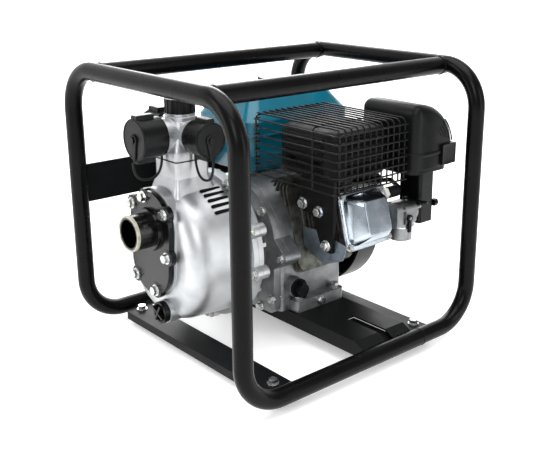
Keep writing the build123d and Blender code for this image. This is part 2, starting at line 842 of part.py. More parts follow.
with BuildPart() as crankcase_cover:
    with BuildSketch(meridian):
        with BuildLine():
            Polyline(
                (pto_x, journal_r + 0.06),
                (pto_x, 71),
                (pto_x + 6, 71),
                (case_x0 - 14, 68),
                (case_x0 - 12, 68),
                (case_x0 - 12, 88),
                (case_x0 - 0.3, 88),
                (case_x0 - 0.3, 64),
                (pto_x + 16, 60),
                (pto_x + 10, 30),
                (case_x0 - 4, 26),
                (case_x0 - 4, journal_r + 0.06),
                close=True,
            )
        make_face()
    revolve(axis=crank_axis)
    with BuildSketch(Plane.YZ.offset(case_x0 - 12)):
        with Locations((44, 84)):
            RectangleRounded(144, 84, 10)
        with Locations((crank_y, crank_z)):
            Circle(62, mode=Mode.SUBTRACT)
        with Locations((cam_y, cam_z)):
            Circle(34, mode=Mode.SUBTRACT)
    extrude(amount=11.7)
    with BuildSketch(Plane.YZ.offset(case_x0 - 12)):
        with Locations(ear_at):
            Circle(10)
        with Locations((0, 120), (0, 160)):
            Circle(20)
        make_hull()
        with Locations((crank_y, crank_z)):
            Circle(66, mode=Mode.SUBTRACT)
    extrude(amount=11.7)
    with BuildSketch(Plane.YZ.offset(case_x0 - 16)):
        with Locations((cam_y, cam_z)):
            Circle(38)
        with Locations((crank_y, crank_z)):
            Circle(60, mode=Mode.SUBTRACT)
    extrude(amount=4)
    with BuildSketch(Plane.YZ.offset(case_x0 - 40)):
        with Locations(*cover_bolt_at):
            Circle(3.2)
    extrude(amount=60, mode=Mode.SUBTRACT)
    with BuildSketch(Plane.YZ.offset(case_x0 - 12)):
        with Locations(*cover_bolt_at):
            Circle(7.4)
    extrude(amount=-14, mode=Mode.SUBTRACT)
    with BuildSketch(Plane.YZ.offset(case_x0 - 8)):
        with Locations((cam_y, cam_z)):
            Circle(7.06)
    extrude(amount=12, mode=Mode.SUBTRACT)
    with BuildSketch(Plane.YZ.offset(pto_x - 1)):
        with Locations((crank_y, crank_z)):
            with PolarLocations(50, 4, start_angle=45):
                Circle(3.4)
    extrude(amount=14, mode=Mode.SUBTRACT)
crankcase_cover.part.label = "crankcase_cover"
export_step(crankcase_cover.part, "parts/crankcase_cover.step")

cover_face = Plane(origin=(case_x0 - 12, 0, 0), x_dir=(0, -1, 0), z_dir=(-1, 0, 0))
with BuildPart() as crankcase_bolts:
    add(hex_bolts([(-y, z) for y, z in cover_bolt_at], cover_face, 5.5, 5.0, 7.0, 3.0, 26.0))
crankcase_bolts.part.label = "crankcase_bolts"
export_step(crankcase_bolts.part, "parts/crankcase_bolts.step")

with BuildPart() as engine_foot_bolts:
    add(hex_bolts([(x, y) for x in foot_x for y in foot_y], Plane.XY.offset(base_top + 18), shank=26.0))
engine_foot_bolts.part.label = "engine_foot_bolts"
export_step(engine_foot_bolts.part, "parts/engine_foot_bolts.step")

with BuildPart() as oil_filler_cap:
    with BuildSketch(Plane.XZ.offset(44.4)):
        with Locations((6, 82)):
            Circle(14.5)
    extrude(amount=4)
    with BuildSketch(Plane.XZ.offset(48.4)):
        with Locations((6, 82)):
            RectangleRounded(8, 26, 3)
            Circle(9)
    extrude(amount=11)
    with BuildSketch(Plane.XZ.offset(44.4)):
        with Locations((6, 82)):
            Circle(9.0)
    extrude(amount=-20)
oil_filler_cap.part.label = "oil_filler_cap"
export_step(oil_filler_cap.part, "parts/oil_filler_cap.step")

with BuildPart() as oil_drain_bolt:
    add(hex_bolts([(50, 51.5)], Plane.XZ.offset(49.0), 6.2, 5.0, 8.0, 5.0, 14.0))
oil_drain_bolt.part.label = "oil_drain_bolt"
export_step(oil_drain_bolt.part, "parts/oil_drain_bolt.step")

# finned barrel and head on the tilted axis
head_in, head_out = 92.3, 170.0
with BuildPart() as cylinder_head:
    with BuildSketch(cylinder.offset(head_in)):
        RectangleRounded(88, 80, 8)
    extrude(amount=head_out - head_in)
    for step in range(6):
        with BuildSketch(cylinder.offset(head_in + 1.5 + 8.2 * step)):
            RectangleRounded(98, 96, 10)
        extrude(amount=2.6)
    for step in range(4):
        with BuildSketch(cylinder.offset(head_in + 51.0 + 6.2 * step)):
            RectangleRounded(96, 90, 8)
        extrude(amount=2.2)
    with BuildSketch(cylinder.offset(head_out - 5)):
        RectangleRounded(92, 88, 10)
    extrude(amount=5)
    with BuildSketch(cylinder.offset(head_in - 1)):
        Circle(bore_r)
    extrude(amount=46, mode=Mode.SUBTRACT)
    with BuildSketch(cylinder.offset(head_out - 22)):
        RectangleRounded(66, 60, 6)
    extrude(amount=30, mode=Mode.SUBTRACT)
    with BuildSketch(cylinder.offset(head_out - 40)):
        with Locations((-16, 0), (16, 0)):
            Circle(3.0)
    extrude(amount=30, mode=Mode.SUBTRACT)
    # liner reaching down into the case
    with BuildSketch(cylinder.offset(70)):
        Circle(bore_r + 3)
        Circle(bore_r, mode=Mode.SUBTRACT)
    extrude(amount=head_in - 69)
    # spark plug seat
    with BuildSketch(Plane.YZ.offset(cyl_x + 20)):
        with Locations((-92, 214)):
            Circle(6.2)
    extrude(amount=60, mode=Mode.SUBTRACT)
cylinder_head.part.label = "cylinder_head"
export_step(cylinder_head.part, "parts/cylinder_head.step")

with BuildPart() as valve_cover:
    with BuildSketch(cylinder.offset(head_out + 0.4)):
        RectangleRounded(94, 90, 12)
    extrude(amount=3)
    with BuildSketch(cylinder.offset(head_out + 3)):
        RectangleRounded(80, 76, 10)
    with BuildSketch(cylinder.offset(head_out + 32)):
        RectangleRounded(52, 60, 9)
    loft()
    with BuildSketch(cylinder.offset(head_out)):
        RectangleRounded(72, 68, 8)
    with BuildSketch(cylinder.offset(head_out + 29)):
        RectangleRounded(46, 54, 7)
    loft(mode=Mode.SUBTRACT)
    with BuildSketch(cylinder.offset(head_out + 3.4)):
        with GridLocations(82, 78, 2, 2):
            RegularPolygon(5.2, 6)
    extrude(amount=5)
valve_cover.part.label = "valve_cover"
export_step(valve_cover.part, "parts/valve_cover.step")

# ---------------------------------------------------------------- rotating and inner parts
with BuildPart() as crankshaft:
    with BuildSketch(meridian):
        with BuildLine():
            Polyline(
                (-126, 0),
                (-126, 7),
                (-114, 7),
                (-114, shaft_r),
                (-74, shaft_r),
                (-72, journal_r),
                (cyl_x - 26, journal_r),
                (cyl_x - 26, 0),
                close=True,
            )
        make_face()
        with BuildLine():
            Polyline(
                (cyl_x + 26, 0),
                (cyl_x + 26, journal_r),
                (fan_x0, journal_r),
                (fan_x0 + 24, 10),
                (fan_x0 + 25, 7),
                (fan_x0 + 34, 7),
                (fan_x0 + 34, 0),
                close=True,
            )
        make_face()
    revolve(axis=crank_axis)
    for web in (cyl_x - 26, cyl_x + 12):
        with BuildSketch(Plane.YZ.offset(web)):
            with BuildLine():
                ang = radians(180 - tilt)
                CenterArc((crank_y, crank_z), web_r, 90 - tilt + 180, 180)
                Line(
                    (crank_y + web_r * sin(ang), crank_z - web_r * cos(ang)),
                    (crank_y - web_r * sin(ang), crank_z + web_r * cos(ang)),
                )
            make_face()
            with Locations((crank_y - throw * cos(radians(tilt)), crank_z + throw * sin(radians(tilt)))):
                Circle(web_r - throw)
            with Locations((crank_y, crank_z)):
                Circle(19)
        extrude(amount=14)
    with BuildSketch(Plane.YZ.offset(cyl_x - 14)):
        with Locations((crank_y - throw * cos(radians(tilt)), crank_z + throw * sin(radians(tilt)))):
            Circle(15)
    extrude(amount=28)
    # timing gear
    with BuildSketch(Plane.YZ.offset(case_x0 + 4)):
        with Locations((crank_y, crank_z)):
            Circle(gear_r - 2.0)
            with PolarLocations(gear_r - 0.9, 20):
                Rectangle(3.0, 2.2)
    extrude(amount=9)
crankshaft.part.label = "crankshaft"
export_step(crankshaft.part, "parts/crankshaft.step")

with BuildPart() as camshaft:
    with BuildSketch(Plane.YZ.offset(case_x0 - 6)):
        with Locations((cam_y, cam_z)):
            Circle(7)
    extrude(amount=case_x1 - case_x0 - 6)
    with BuildSketch(Plane.YZ.offset(case_x0 + 4)):
        with Locations((cam_y, cam_z)):
            Circle(2 * gear_r - 2.0)
            with PolarLocations(2 * gear_r - 0.9, 40, start_angle=4.5):
                Rectangle(3.0, 2.2)
    extrude(amount=9)
    for lobe, turn in ((cyl_x - 42, 80), (cyl_x + 14, 190)):
        with BuildSketch(Plane.YZ.offset(lobe)):
            with Locations((cam_y, cam_z)):
                Circle(11)
            with Locations((cam_y + 6 * cos(radians(turn)), cam_z + 6 * sin(radians(turn)))):
                Circle(8)
            make_hull()
        extrude(amount=8)
camshaft.part.label = "camshaft"
export_step(camshaft.part, "parts/camshaft.step")

crown = throw + 84.0 + 20.0
with BuildPart() as piston:
    with BuildSketch(cylinder.offset(crown - 44)):
        Circle(bore_r - 0.05)
    extrude(amount=44)
    with BuildSketch(cylinder.offset(crown - 45)):
        Circle(bore_r - 4)
    extrude(amount=39, mode=Mode.SUBTRACT)
    for groove in (4, 9, 14):
        with BuildSketch(cylinder.offset(crown - groove - 1.5)):
            Circle(bore_r + 1)
            Circle(bore_r - 2.2, mode=Mode.SUBTRACT)
        extrude(amount=1.5, mode=Mode.SUBTRACT)
    with BuildSketch(Plane(origin=cylinder.offset(crown - 24).origin, x_dir=(0, 0, 1), z_dir=(1, 0, 0))):
        Circle(8.5)
    extrude(amount=32, both=True)
piston.part.label = "piston"
export_step(piston.part, "parts/piston.step")

with BuildPart() as connecting_rod:
    with BuildSketch(Plane(origin=cylinder.offset(crown - 24).origin, x_dir=axis_u, z_dir=(1, 0, 0))):
        Circle(13)
        with Locations((-26, 0)):
            Rectangle(40, 11)
        Circle(8.6, mode=Mode.SUBTRACT)
    extrude(amount=6, both=True)
connecting_rod.part.label = "connecting_rod"
export_step(connecting_rod.part, "parts/connecting_rod.step")

with BuildPart() as valves:
    for side in (-16, 16):
        with BuildSketch(cylinder.offset(head_out - 34)):
            with Locations((side, 0)):
                Circle(2.8)
        extrude(amount=42)
        with BuildSketch(cylinder.offset(head_out - 21.5)):
            with Locations((side, 0)):
                Circle(9.5)
                Circle(6.5, mode=Mode.SUBTRACT)
        extrude(amount=20)
        with BuildSketch(cylinder.offset(head_out - 1.6)):
            with Locations((side, 0)):
                Circle(10)
        extrude(amount=2.4)
valves.part.label = "valves"
export_step(valves.part, "parts/valves.step")

with BuildPart() as spark_plug:
    with BuildSketch(Plane.YZ.offset(cyl_x + 30)):
        with Locations((-92, 214)):
            Circle(6.0)
    extrude(amount=26)
    with BuildSketch(Plane.YZ.offset(cyl_x + 53)):
        with Locations((-92, 214)):
            RegularPolygon(10.0, 6)
    extrude(amount=9)
    with BuildSketch(Plane.YZ.offset(cyl_x + 62)):
        with Locations((-92, 214)):
            Circle(4.5)
    extrude(amount=16)
spark_plug.part.label = "spark_plug"
export_step(spark_plug.part, "parts/spark_plug.step")

with BuildPart() as spark_plug_lead:
    with BuildSketch(Plane.YZ.offset(cyl_x + 64)):
        with Locations((-92, 214)):
            Circle(9)
            Circle(4.7, mode=Mode.SUBTRACT)
    extrude(amount=15)
    with BuildSketch(Plane.YZ.offset(cyl_x + 79)):
        with Locations((-92, 214)):
            Circle(9)
    extrude(amount=7)
    with BuildLine() as route:
        FilletPolyline(
            (cyl_x + 84, -92, 214),
            (cyl_x + 97, -92, 214),
            (cyl_x + 94, -72, 226),
            (cyl_x + 70, -62, 226),
            (cyl_x + 70, -30, 226),
            radius=5.0,
        )
    with BuildSketch(Plane(origin=route.line @ 0, z_dir=route.line % 0)):
        Circle(3.4)
    sweep()
spark_plug_lead.part.label = "spark_plug_lead"
export_step(spark_plug_lead.part, "parts/spark_plug_lead.step")

with BuildPart() as flywheel:
    with BuildSketch(meridian):
        with BuildLine():
            Polyline(
                (fan_x0 + 4, 12.14),
                (fan_x0 + 4, 30),
                (fan_x0 + 8, 34),
                (fan_x0 + 8, 70),
                (fan_x0 + 2, 72),
                (fan_x0 + 2, 90),
                (fan_x0 + 17, 90),
                (fan_x0 + 17, 40),
                (fan_x0 + 22, 36),
                (fan_x0 + 36, 36),
                (fan_x0 + 36, 33),
                (fan_x0 + 22, 33),
                (fan_x0 + 22, 10.27),
                close=True,
            )
        make_face()
    revolve(axis=crank_axis)
    with BuildSketch(Plane.YZ.offset(fan_x0 + 16.5)):
        with Locations((crank_y, crank_z)):
            with PolarLocations(70, 18):
                Rectangle(38, 3.0, rotation=24)
    extrude(amount=18)
flywheel.part.label = "flywheel"
export_step(flywheel.part, "parts/flywheel.step")

with BuildPart() as starter_pulley:
    with BuildSketch(meridian):
        with BuildLine():
            Polyline(
                (fan_x1 + 6.5, 7.06),
                (fan_x1 + 6.5, 56),
                (fan_x1 + 8.5, 56),
                (fan_x1 + 8.5, 48),
                (fan_x1 + 13.5, 48),
                (fan_x1 + 13.5, 56),
                (fan_x1 + 15.5, 56),
                (fan_x1 + 15.5, 7.06),
                close=True,
            )
        make_face()
    revolve(axis=crank_axis)
starter_pulley.part.label = "starter_pulley"
export_step(starter_pulley.part, "parts/starter_pulley.step")

control_at = (-31.0, 199.5)
switch_at = (-41.5, 172.0)
with BuildPart() as fan_housing:
    with BuildSketch(meridian):
        with BuildLine():
            Polyline(
                (fan_x0, fan_r),
                (fan_x1, fan_r),
                (fan_x1, 78),
                (fan_x1 - 3, 78),
                (fan_x1 - 3, fan_r - 3),
                (fan_x0, fan_r - 3),
                close=True,
            )
        make_face()
    revolve(axis=crank_axis)
    # air duct towards the cylinder
    with BuildSketch(Plane.XZ.offset(20)):
        with Locations(((fan_x0 + fan_x1) / 2, 192)):
            RectangleRounded(fan_x1 - fan_x0, 84, 6)
            RectangleRounded(fan_x1 - fan_x0 - 6, 78, 4, mode=Mode.SUBTRACT)
    extrude(amount=34)
    with BuildSketch(Plane.YZ.offset(fan_x0)):
        with Locations((crank_y, crank_z)):
            Circle(fan_r - 3)
    extrude(amount=fan_x1 - 3 - fan_x0, mode=Mode.SUBTRACT)
    with BuildSketch(Plane.YZ.offset(fan_x1 - 1)):
        with Locations(control_at, switch_at):
            Circle(4.0)
    extrude(amount=11)
    # rest for the fuel tank
    with BuildSketch(Plane.YZ.offset(fan_x0 + 4)):
        with Locations((85, 258)):
            Rectangle(44, 19.6)
    extrude(amount=28)
    with BuildSketch(Plane.YZ.offset(fan_x0)):
        with Locations((crank_y, crank_z)):
            Circle(fan_r - 3)
    extrude(amount=fan_x1 - 3 - fan_x0, mode=Mode.SUBTRACT)
fan_housing.part.label = "fan_housing"
export_step(fan_housing.part, "parts/fan_housing.step")

rope_z = crank_z - 52.0
with BuildPart() as recoil_cover:
    with BuildSketch(meridian):
        with BuildLine():
            Polyline(
                (fan_x1 + 0.3, 91),
                (fan_x1 + 3, 91),
                (fan_x1 + 5, 87),
                (fan_x1 + 24, 80),
                (fan_x1 + 30, 70),
                (fan_x1 + 30, 0),
                (fan_x1 + 6, 0),
                (fan_x1 + 6, 7),
                (fan_x1 + 17, 7),
                (fan_x1 + 17, 14),
                (fan_x1 + 27, 16),
                (fan_x1 + 27, 68),
                (fan_x1 + 22, 77),
                (fan_x1 + 2, 85),
                (fan_x1 + 0.3, 85),
                close=True,
            )
        make_face()
    revolve(axis=crank_axis)
    with BuildSketch(Plane.YZ.offset(fan_x1 + 20)):
        with Locations((crank_y, crank_z)):
            with PolarLocations(52, 14):
                SlotOverall(26, 7)
    extrude(amount=20, mode=Mode.SUBTRACT)
    # rope guide
    with BuildSketch(Plane.XZ.offset(-crank_y - 60)):
        with Locations((fan_x1 + 11, rope_z)):
            RectangleRounded(17, 20, 3)
    extrude(amount=-26)
    with BuildSketch(Plane.XZ.offset(-crank_y)):
        with Locations((fan_x1 + 11, rope_z)):
            Circle(3.4)
    extrude(amount=-110, mode=Mode.SUBTRACT)
recoil_cover.part.label = "recoil_cover"
export_step(recoil_cover.part, "parts/recoil_cover.step")

with BuildPart() as recoil_handle:
    with BuildSketch(Plane.XZ.offset(-crank_y - 86.4)):
        with Locations((fan_x1 + 11, rope_z)):
            Circle(9)
    extrude(amount=-12, taper=12)
    with BuildSketch(Plane.XZ.offset(-crank_y - 96)):
        with Locations((fan_x1 + 11, rope_z)):
            RectangleRounded(14, 66, 6.5)
    extrude(amount=-15)
    with BuildSketch(Plane.XZ.offset(-crank_y + 2)):
        with Locations((fan_x1 + 11, rope_z)):
            Circle(2.4)
    extrude(amount=-92)
recoil_handle.part.label = "recoil_handle"
export_step(recoil_handle.part, "parts/recoil_handle.step")

# ---------------------------------------------------------------- exhaust side
guard_x0, guard_x1 = -10.0, 133.0
guard_y0, guard_y1 = -140.0, 38.0
guard_z0, guard_z1 = 244.0, 338.0
wire_r = 1.3
with BuildPart() as muffler:
    with BuildSketch(Plane.XY.offset(258)):
        with Locations((61, -60)):
            RectangleRounded(116, 128, 26)
    extrude(amount=70)
    fillet(muffler.faces().sort_by(Axis.Z)[-1].edges(), radius=12)
    fillet(muffler.faces().sort_by(Axis.Z)[0].edges(), radius=8)
    with BuildSketch(Plane.XY.offset(237)):
        with Locations((56, -84)):
            Circle(13)
    extrude(amount=25)
    with BuildSketch(Plane.XY.offset(263)):
        with Locations((61, -60)):
            RectangleRounded(108, 120, 22)
    extrude(amount=58, mode=Mode.SUBTRACT)
muffler.part.label = "muffler"
export_step(muffler.part, "parts/muffler.step")

# one cage of bent wires
with BuildPart() as muffler_guard:
    for level in range(8):
        z = guard_z0 + 4 + level * (guard_z1 - guard_z0 - 12) / 7
        corners = [
            (guard_x0 + 12, guard_y1, z),
            (guard_x0, guard_y1, z),
            (guard_x0, guard_y0, z),
            (guard_x1, guard_y0, z),
        ]
        add(rod_along(corners, 5.0, wire_r))
    for column in range(12):
        x = guard_x0 + 8 + column * (guard_x1 - guard_x0 - 12) / 11
        front_y = guard_y0 + 1.8 * wire_r
        add(rod_along([(x, guard_y1, guard_z1), (x, front_y, guard_z1), (x, front_y, guard_z0 + 2)], 7.0, wire_r))
    for y in (guard_y0 + 50, guard_y1 - 4):
        side_x = guard_x0 + 1.8 * wire_r
        under_z = guard_z1 - 1.8 * wire_r
        add(rod_along([(guard_x1 - 4, y, under_z), (side_x, y, under_z), (side_x, y, guard_z0 + 2)], 6.0, wire_r))
    # tabs that carry the guard on the muffler
    with BuildSketch(Plane.XY.offset(guard_z0 + 3 + 3 * (guard_z1 - guard_z0 - 12) / 7)):
        with Locations((-4.0, -85), (-4.0, -35)):
            Rectangle(13.8, 10)
    extrude(amount=2)
muffler_guard.part.label = "muffler_guard"
export_step(muffler_guard.part, "parts/muffler_guard.step")

with BuildPart() as exhaust_bracket:
    with BuildSketch(Plane.YZ.offset(19.0)):
        with BuildLine():
            Polyline(
                (-38, 257.6),
                (-34, 203),
                (-62, 196),
                (-82, 148),
                (-102, 148),
                (-106, 200),
                (-106, 257.6),
                close=True,
            )
        make_face()
    extrude(amount=6)
    with BuildSketch(Plane(origin=(19.0, 0, 0), x_dir=(0, -1, 0), z_dir=(-1, 0, 0))):
        with Locations((42, 212), (76, 206), (92, 158)):
            RegularPolygon(6.0, 6)
    extrude(amount=5.5)
exhaust_bracket.part.label = "exhaust_bracket"
export_step(exhaust_bracket.part, "parts/exhaust_bracket.step")

with BuildPart() as cylinder_shroud:
    with BuildSketch(Plane.YZ.offset(25.2)):
        with BuildLine():
            Polyline((-34, 172), (-72, 174), (-127, 163), (-119, 140), (-80, 124), (-36, 142), close=True)
        make_face()
    extrude(amount=1.5)
cylinder_shroud.part.label = "cylinder_shroud"
export_step(cylinder_shroud.part, "parts/cylinder_shroud.step")

# ---------------------------------------------------------------- fuel
tank_x0, tank_x1 = -10.0, 200.0
tank_y0, tank_y1 = 44.0, 188.0
cap_at = (92.0, 104.0)
with BuildPart() as fuel_tank:
    with BuildSketch(Plane.XY.offset(268)):
        with Locations(((tank_x0 + tank_x1) / 2, (tank_y0 + tank_y1) / 2)):
            RectangleRounded(tank_x1 - tank_x0, tank_y1 - tank_y0, 22)
    extrude(amount=52)
    with BuildSketch(Plane.XY.offset(320)):
        with Locations(((tank_x0 + tank_x1) / 2, (tank_y0 + tank_y1) / 2)):
            RectangleRounded(tank_x1 - tank_x0, tank_y1 - tank_y0, 22)
    with BuildSketch(Plane.XY.offset(352)):
        with Locations(((tank_x0 + tank_x1) / 2, (tank_y0 + tank_y1) / 2)):
            RectangleRounded(tank_x1 - tank_x0 - 46, tank_y1 - tank_y0 - 46, 16)
    loft()
    with BuildSketch(Plane.XY.offset(268)):
        with Locations((46, (tank_y0 + tank_y1) / 2)):
            RectangleRounded(112, tank_y1 - tank_y0, 22)
    with BuildSketch(Plane.XY.offset(240)):
        with Locations((48, (tank_y0 + tank_y1) / 2)):
            RectangleRounded(96, tank_y1 - tank_y0 - 30, 14)
    loft()
    with BuildSketch(Plane.XY.offset(298)):
        with Locations(((tank_x0 + tank_x1) / 2, (tank_y0 + tank_y1) / 2)):
            RectangleRounded(tank_x1 - tank_x0 + 8, tank_y1 - tank_y0 + 8, 24)
    extrude(amount=3)
    # filler neck and hollow
    with BuildSketch(Plane.XY.offset(350)):
        with Locations(cap_at):
            Circle(24)
    extrude(amount=10)
    with BuildSketch(Plane.XY.offset(270)):
        with Locations(((tank_x0 + tank_x1) / 2, (tank_y0 + tank_y1) / 2)):
            RectangleRounded(tank_x1 - tank_x0 - 4, tank_y1 - tank_y0 - 4, 20)
    extrude(amount=50, mode=Mode.SUBTRACT)
    with BuildSketch(Plane.XY.offset(319)):
        with Locations(((tank_x0 + tank_x1) / 2, (tank_y0 + tank_y1) / 2)):
            RectangleRounded(tank_x1 - tank_x0 - 4, tank_y1 - tank_y0 - 4, 20)
    with BuildSketch(Plane.XY.offset(349)):
        with Locations(((tank_x0 + tank_x1) / 2, (tank_y0 + tank_y1) / 2)):
            RectangleRounded(tank_x1 - tank_x0 - 51, tank_y1 - tank_y0 - 51, 14)
    loft(mode=Mode.SUBTRACT)
    with BuildSketch(Plane.XY.offset(271)):
        with Locations((46, (tank_y0 + tank_y1) / 2)):
            RectangleRounded(107, tank_y1 - tank_y0 - 5, 20)
    with BuildSketch(Plane.XY.offset(242.5)):
        with Locations((48, (tank_y0 + tank_y1) / 2)):
            RectangleRounded(91, tank_y1 - tank_y0 - 35, 12)
    loft(mode=Mode.SUBTRACT)
    with BuildSketch(Plane.XY.offset(319)):
        with Locations(cap_at):
            Circle(19)
    extrude(amount=60, mode=Mode.SUBTRACT)
fuel_tank.part.label = "fuel_tank"
export_step(fuel_tank.part, "parts/fuel_tank.step")

with BuildPart() as fuel_cap:
    with BuildSketch(Plane.XY.offset(360.4)):
        with Locations(cap_at):
            Circle(29)
            with PolarLocations(29, 24):
                Circle(1.8)
    extrude(amount=15)
    fillet(fuel_cap.faces().sort_by(Axis.Z)[-1].edges(), radius=1.2)
    with BuildSketch(Plane.XY.offset(352)):
        with Locations(cap_at):
            Circle(18.5)
    extrude(amount=9)
fuel_cap.part.label = "fuel_cap"
export_step(fuel_cap.part, "parts/fuel_cap.step")

# ---------------------------------------------------------------- carburettor and air cleaner
carb_x, carb_y, carb_z = 162.0, -107.0, 184.0
with BuildPart() as carburettor:
    with BuildSketch(Plane.YZ.offset(129.4)):
        with Locations((carb_y, carb_z)):
            RectangleRounded(44, 34, 6)
    extrude(amount=12)
    with BuildSketch(Plane.YZ.offset(141)):
        with Locations((carb_y, carb_z)):
            Circle(17)
    extrude(amount=42)
    with BuildSketch(Plane.YZ.offset(150)):
        with Locations((carb_y, carb_z)):
            RectangleRounded(42, 30, 6)
    extrude(amount=24)
    with BuildSketch(Plane.XY.offset(164)):
        with Locations((carb_x, carb_y)):
            Circle(20)
    extrude(amount=20)
    with BuildSketch(Plane.XY.offset(142)):
        with Locations((carb_x, carb_y)):
            Circle(17.5)
    extrude(amount=22)
    with BuildSketch(Plane.XY.offset(137)):
        with Locations((carb_x, carb_y)):
            RegularPolygon(5.5, 6)
    extrude(amount=6)
    with BuildSketch(Plane.YZ.offset(141)):
        with Locations((carb_y - 17, carb_z + 8), (carb_y + 17, carb_z + 8)):
            Circle(3)
    extrude(amount=42)
    # pivots of the choke lever and the fuel tap
    with BuildSketch(Plane.XY.offset(carb_z + 8)):
        with Locations((174, carb_y + 2)):
            Circle(5)
    extrude(amount=10.1)
    with BuildSketch(Plane.XY.offset(carb_z + 8)):
        with Locations((174, carb_y + 2)):
            Circle(2.5)
    extrude(amount=14)
    with BuildSketch(Plane.XZ.offset(-carb_y + 10)):
        with Locations((156, carb_z - 4)):
            Circle(5)
    extrude(amount=11.2)
    with BuildSketch(Plane.XZ.offset(-carb_y + 10)):
        with Locations((156, carb_z - 4)):
            Circle(2.5)
    extrude(amount=15.5)
    with BuildSketch(Plane.YZ.offset(120)):
        with Locations((carb_y, carb_z)):
            Circle(9)
    extrude(amount=80, mode=Mode.SUBTRACT)
carburettor.part.label = "carburettor"
export_step(carburettor.part, "parts/carburettor.step")

duct_x0, duct_x1 = 183.4, 216.0
with BuildPart() as air_cleaner_base:
    with BuildSketch(Plane.XY.offset(164)):
        with Locations(((duct_x0 + duct_x1) / 2, -103)):
            RectangleRounded(duct_x1 - duct_x0, 44, 5)
    extrude(amount=90)
    with BuildSketch(Plane.XY.offset(250)):
        with Locations((184, -92)):
            RectangleRounded(82, 104, 16)
    extrude(amount=8)
    with BuildSketch(Plane.YZ.offset(duct_x0 - 1)):
        with Locations((carb_y, carb_z)):
            Circle(12)
    extrude(amount=24, mode=Mode.SUBTRACT)
    with BuildSketch(Plane.XY.offset(carb_z)):
        with Locations(((duct_x0 + duct_x1) / 2, -103)):
            RectangleRounded(22, 30, 4)
    extrude(amount=90, mode=Mode.SUBTRACT)
    with BuildSketch(Plane.YZ.offset(duct_x1)):
        with Locations((carb_y - 17, carb_z + 8)):
            RegularPolygon(6, 6)
    extrude(amount=7)
air_cleaner_base.part.label = "air_cleaner_base"
export_step(air_cleaner_base.part, "parts/air_cleaner_base.step")

clean_x0, clean_x1 = 140.0, 229.5
clean_y0, clean_y1 = -150.0, -36.0
with BuildPart() as air_cleaner_cover:
    with BuildSketch(Plane.XY.offset(258.4)):
        with Locations(((clean_x0 + clean_x1) / 2, (clean_y0 + clean_y1) / 2)):
            RectangleRounded(clean_x1 - clean_x0, clean_y1 - clean_y0, 16)
    extrude(amount=96)
    with BuildSketch(Plane.XZ.offset(-clean_y1)):
        with BuildLine():
            Polyline((clean_x0 - 5, 350), (clean_x0 - 5, 250), (clean_x1 + 6, 250), (clean_x1 + 6, 286))
            Bezier((clean_x1 + 6, 286), (clean_x1 - 1, 334), (208, 352), (172, 354))
            Line((172, 354), (clean_x0 - 5, 350))
        make_face()
    extrude(amount=clean_y1 - clean_y0, mode=Mode.INTERSECT)
    with BuildSketch(Plane.XY.offset(258)):
        with Locations(((clean_x0 + clean_x1) / 2, (clean_y0 + clean_y1) / 2)):
            RectangleRounded(clean_x1 - clean_x0 - 8, clean_y1 - clean_y0 - 8, 12)
    extrude(amount=42, mode=Mode.SUBTRACT)
air_cleaner_cover.part.label = "air_cleaner_cover"
export_step(air_cleaner_cover.part, "parts/air_cleaner_cover.step")

# ---------------------------------------------------------------- controls
with BuildPart() as throttle_lever:
    with BuildSketch(Plane.YZ.offset(fan_x1 + 2.0)):
        with Locations(control_at):
            Circle(8.5)
        with BuildLine():
            Polyline(
                (control_at[0] - 4, control_at[1]),
                (control_at[0] - 4, control_at[1] + 35),
                (control_at[0] + 4, control_at[1] + 35),
                (control_at[0] + 4, control_at[1]),
                close=True,
            )
        make_face()
        with Locations((control_at[0], control_at[1] + 35)):
            Circle(7)
        with Locations(control_at):
            Circle(4.06, mode=Mode.SUBTRACT)
    extrude(amount=3.2)
throttle_lever.part.label = "throttle_lever"
export_step(throttle_lever.part, "parts/throttle_lever.step")

with BuildPart() as engine_switch:
    with BuildSketch(Plane.YZ.offset(fan_x1 + 0.6)):
        with Locations(switch_at):
            Circle(9.5)
            Circle(4.06, mode=Mode.SUBTRACT)
    extrude(amount=6)
    with BuildSketch(Plane.YZ.offset(fan_x1 + 10.6)):
        with Locations(switch_at):
            RectangleRounded(6, 18, 2.5)
    extrude(amount=5)
    with BuildSketch(Plane.YZ.offset(fan_x1 + 6)):
        with Locations(switch_at):
            Circle(7.5)
            Circle(4.06, mode=Mode.SUBTRACT)
    extrude(amount=5)
engine_switch.part.label = "engine_switch"
export_step(engine_switch.part, "parts/engine_switch.step")

with BuildPart() as choke_lever:
    with BuildSketch(Plane.XY.offset(carb_z + 18.4)):
        with Locations((174, carb_y + 2)):
            Circle(5)
        with Locations((174, carb_y - 16)):
            Rectangle(6, 34)
        with Locations((174, carb_y - 34)):
            Circle(5.5)
        with Locations((174, carb_y + 2)):
            Circle(2.56, mode=Mode.SUBTRACT)
    extrude(amount=2.6)
choke_lever.part.label = "choke_lever"
export_step(choke_lever.part, "parts/choke_lever.step")

with BuildPart() as fuel_valve:
    with BuildSketch(Plane.XZ.offset(-carb_y + 21.5)):
        with Locations((156, carb_z - 4)):
            Circle(5.5)
        with Locations((156, carb_z - 15)):
            Rectangle(6, 22)
        with Locations((156, carb_z - 4)):
            Circle(2.56, mode=Mode.SUBTRACT)
    extrude(amount=3)
fuel_valve.part.label = "fuel_valve"
export_step(fuel_valve.part, "parts/fuel_valve.step")
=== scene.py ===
"""Looks of a small engine-driven water pump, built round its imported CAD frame. Units are metres."""

from math import cos, pi, radians, sin

import bpy
from mathutils import Matrix, Vector


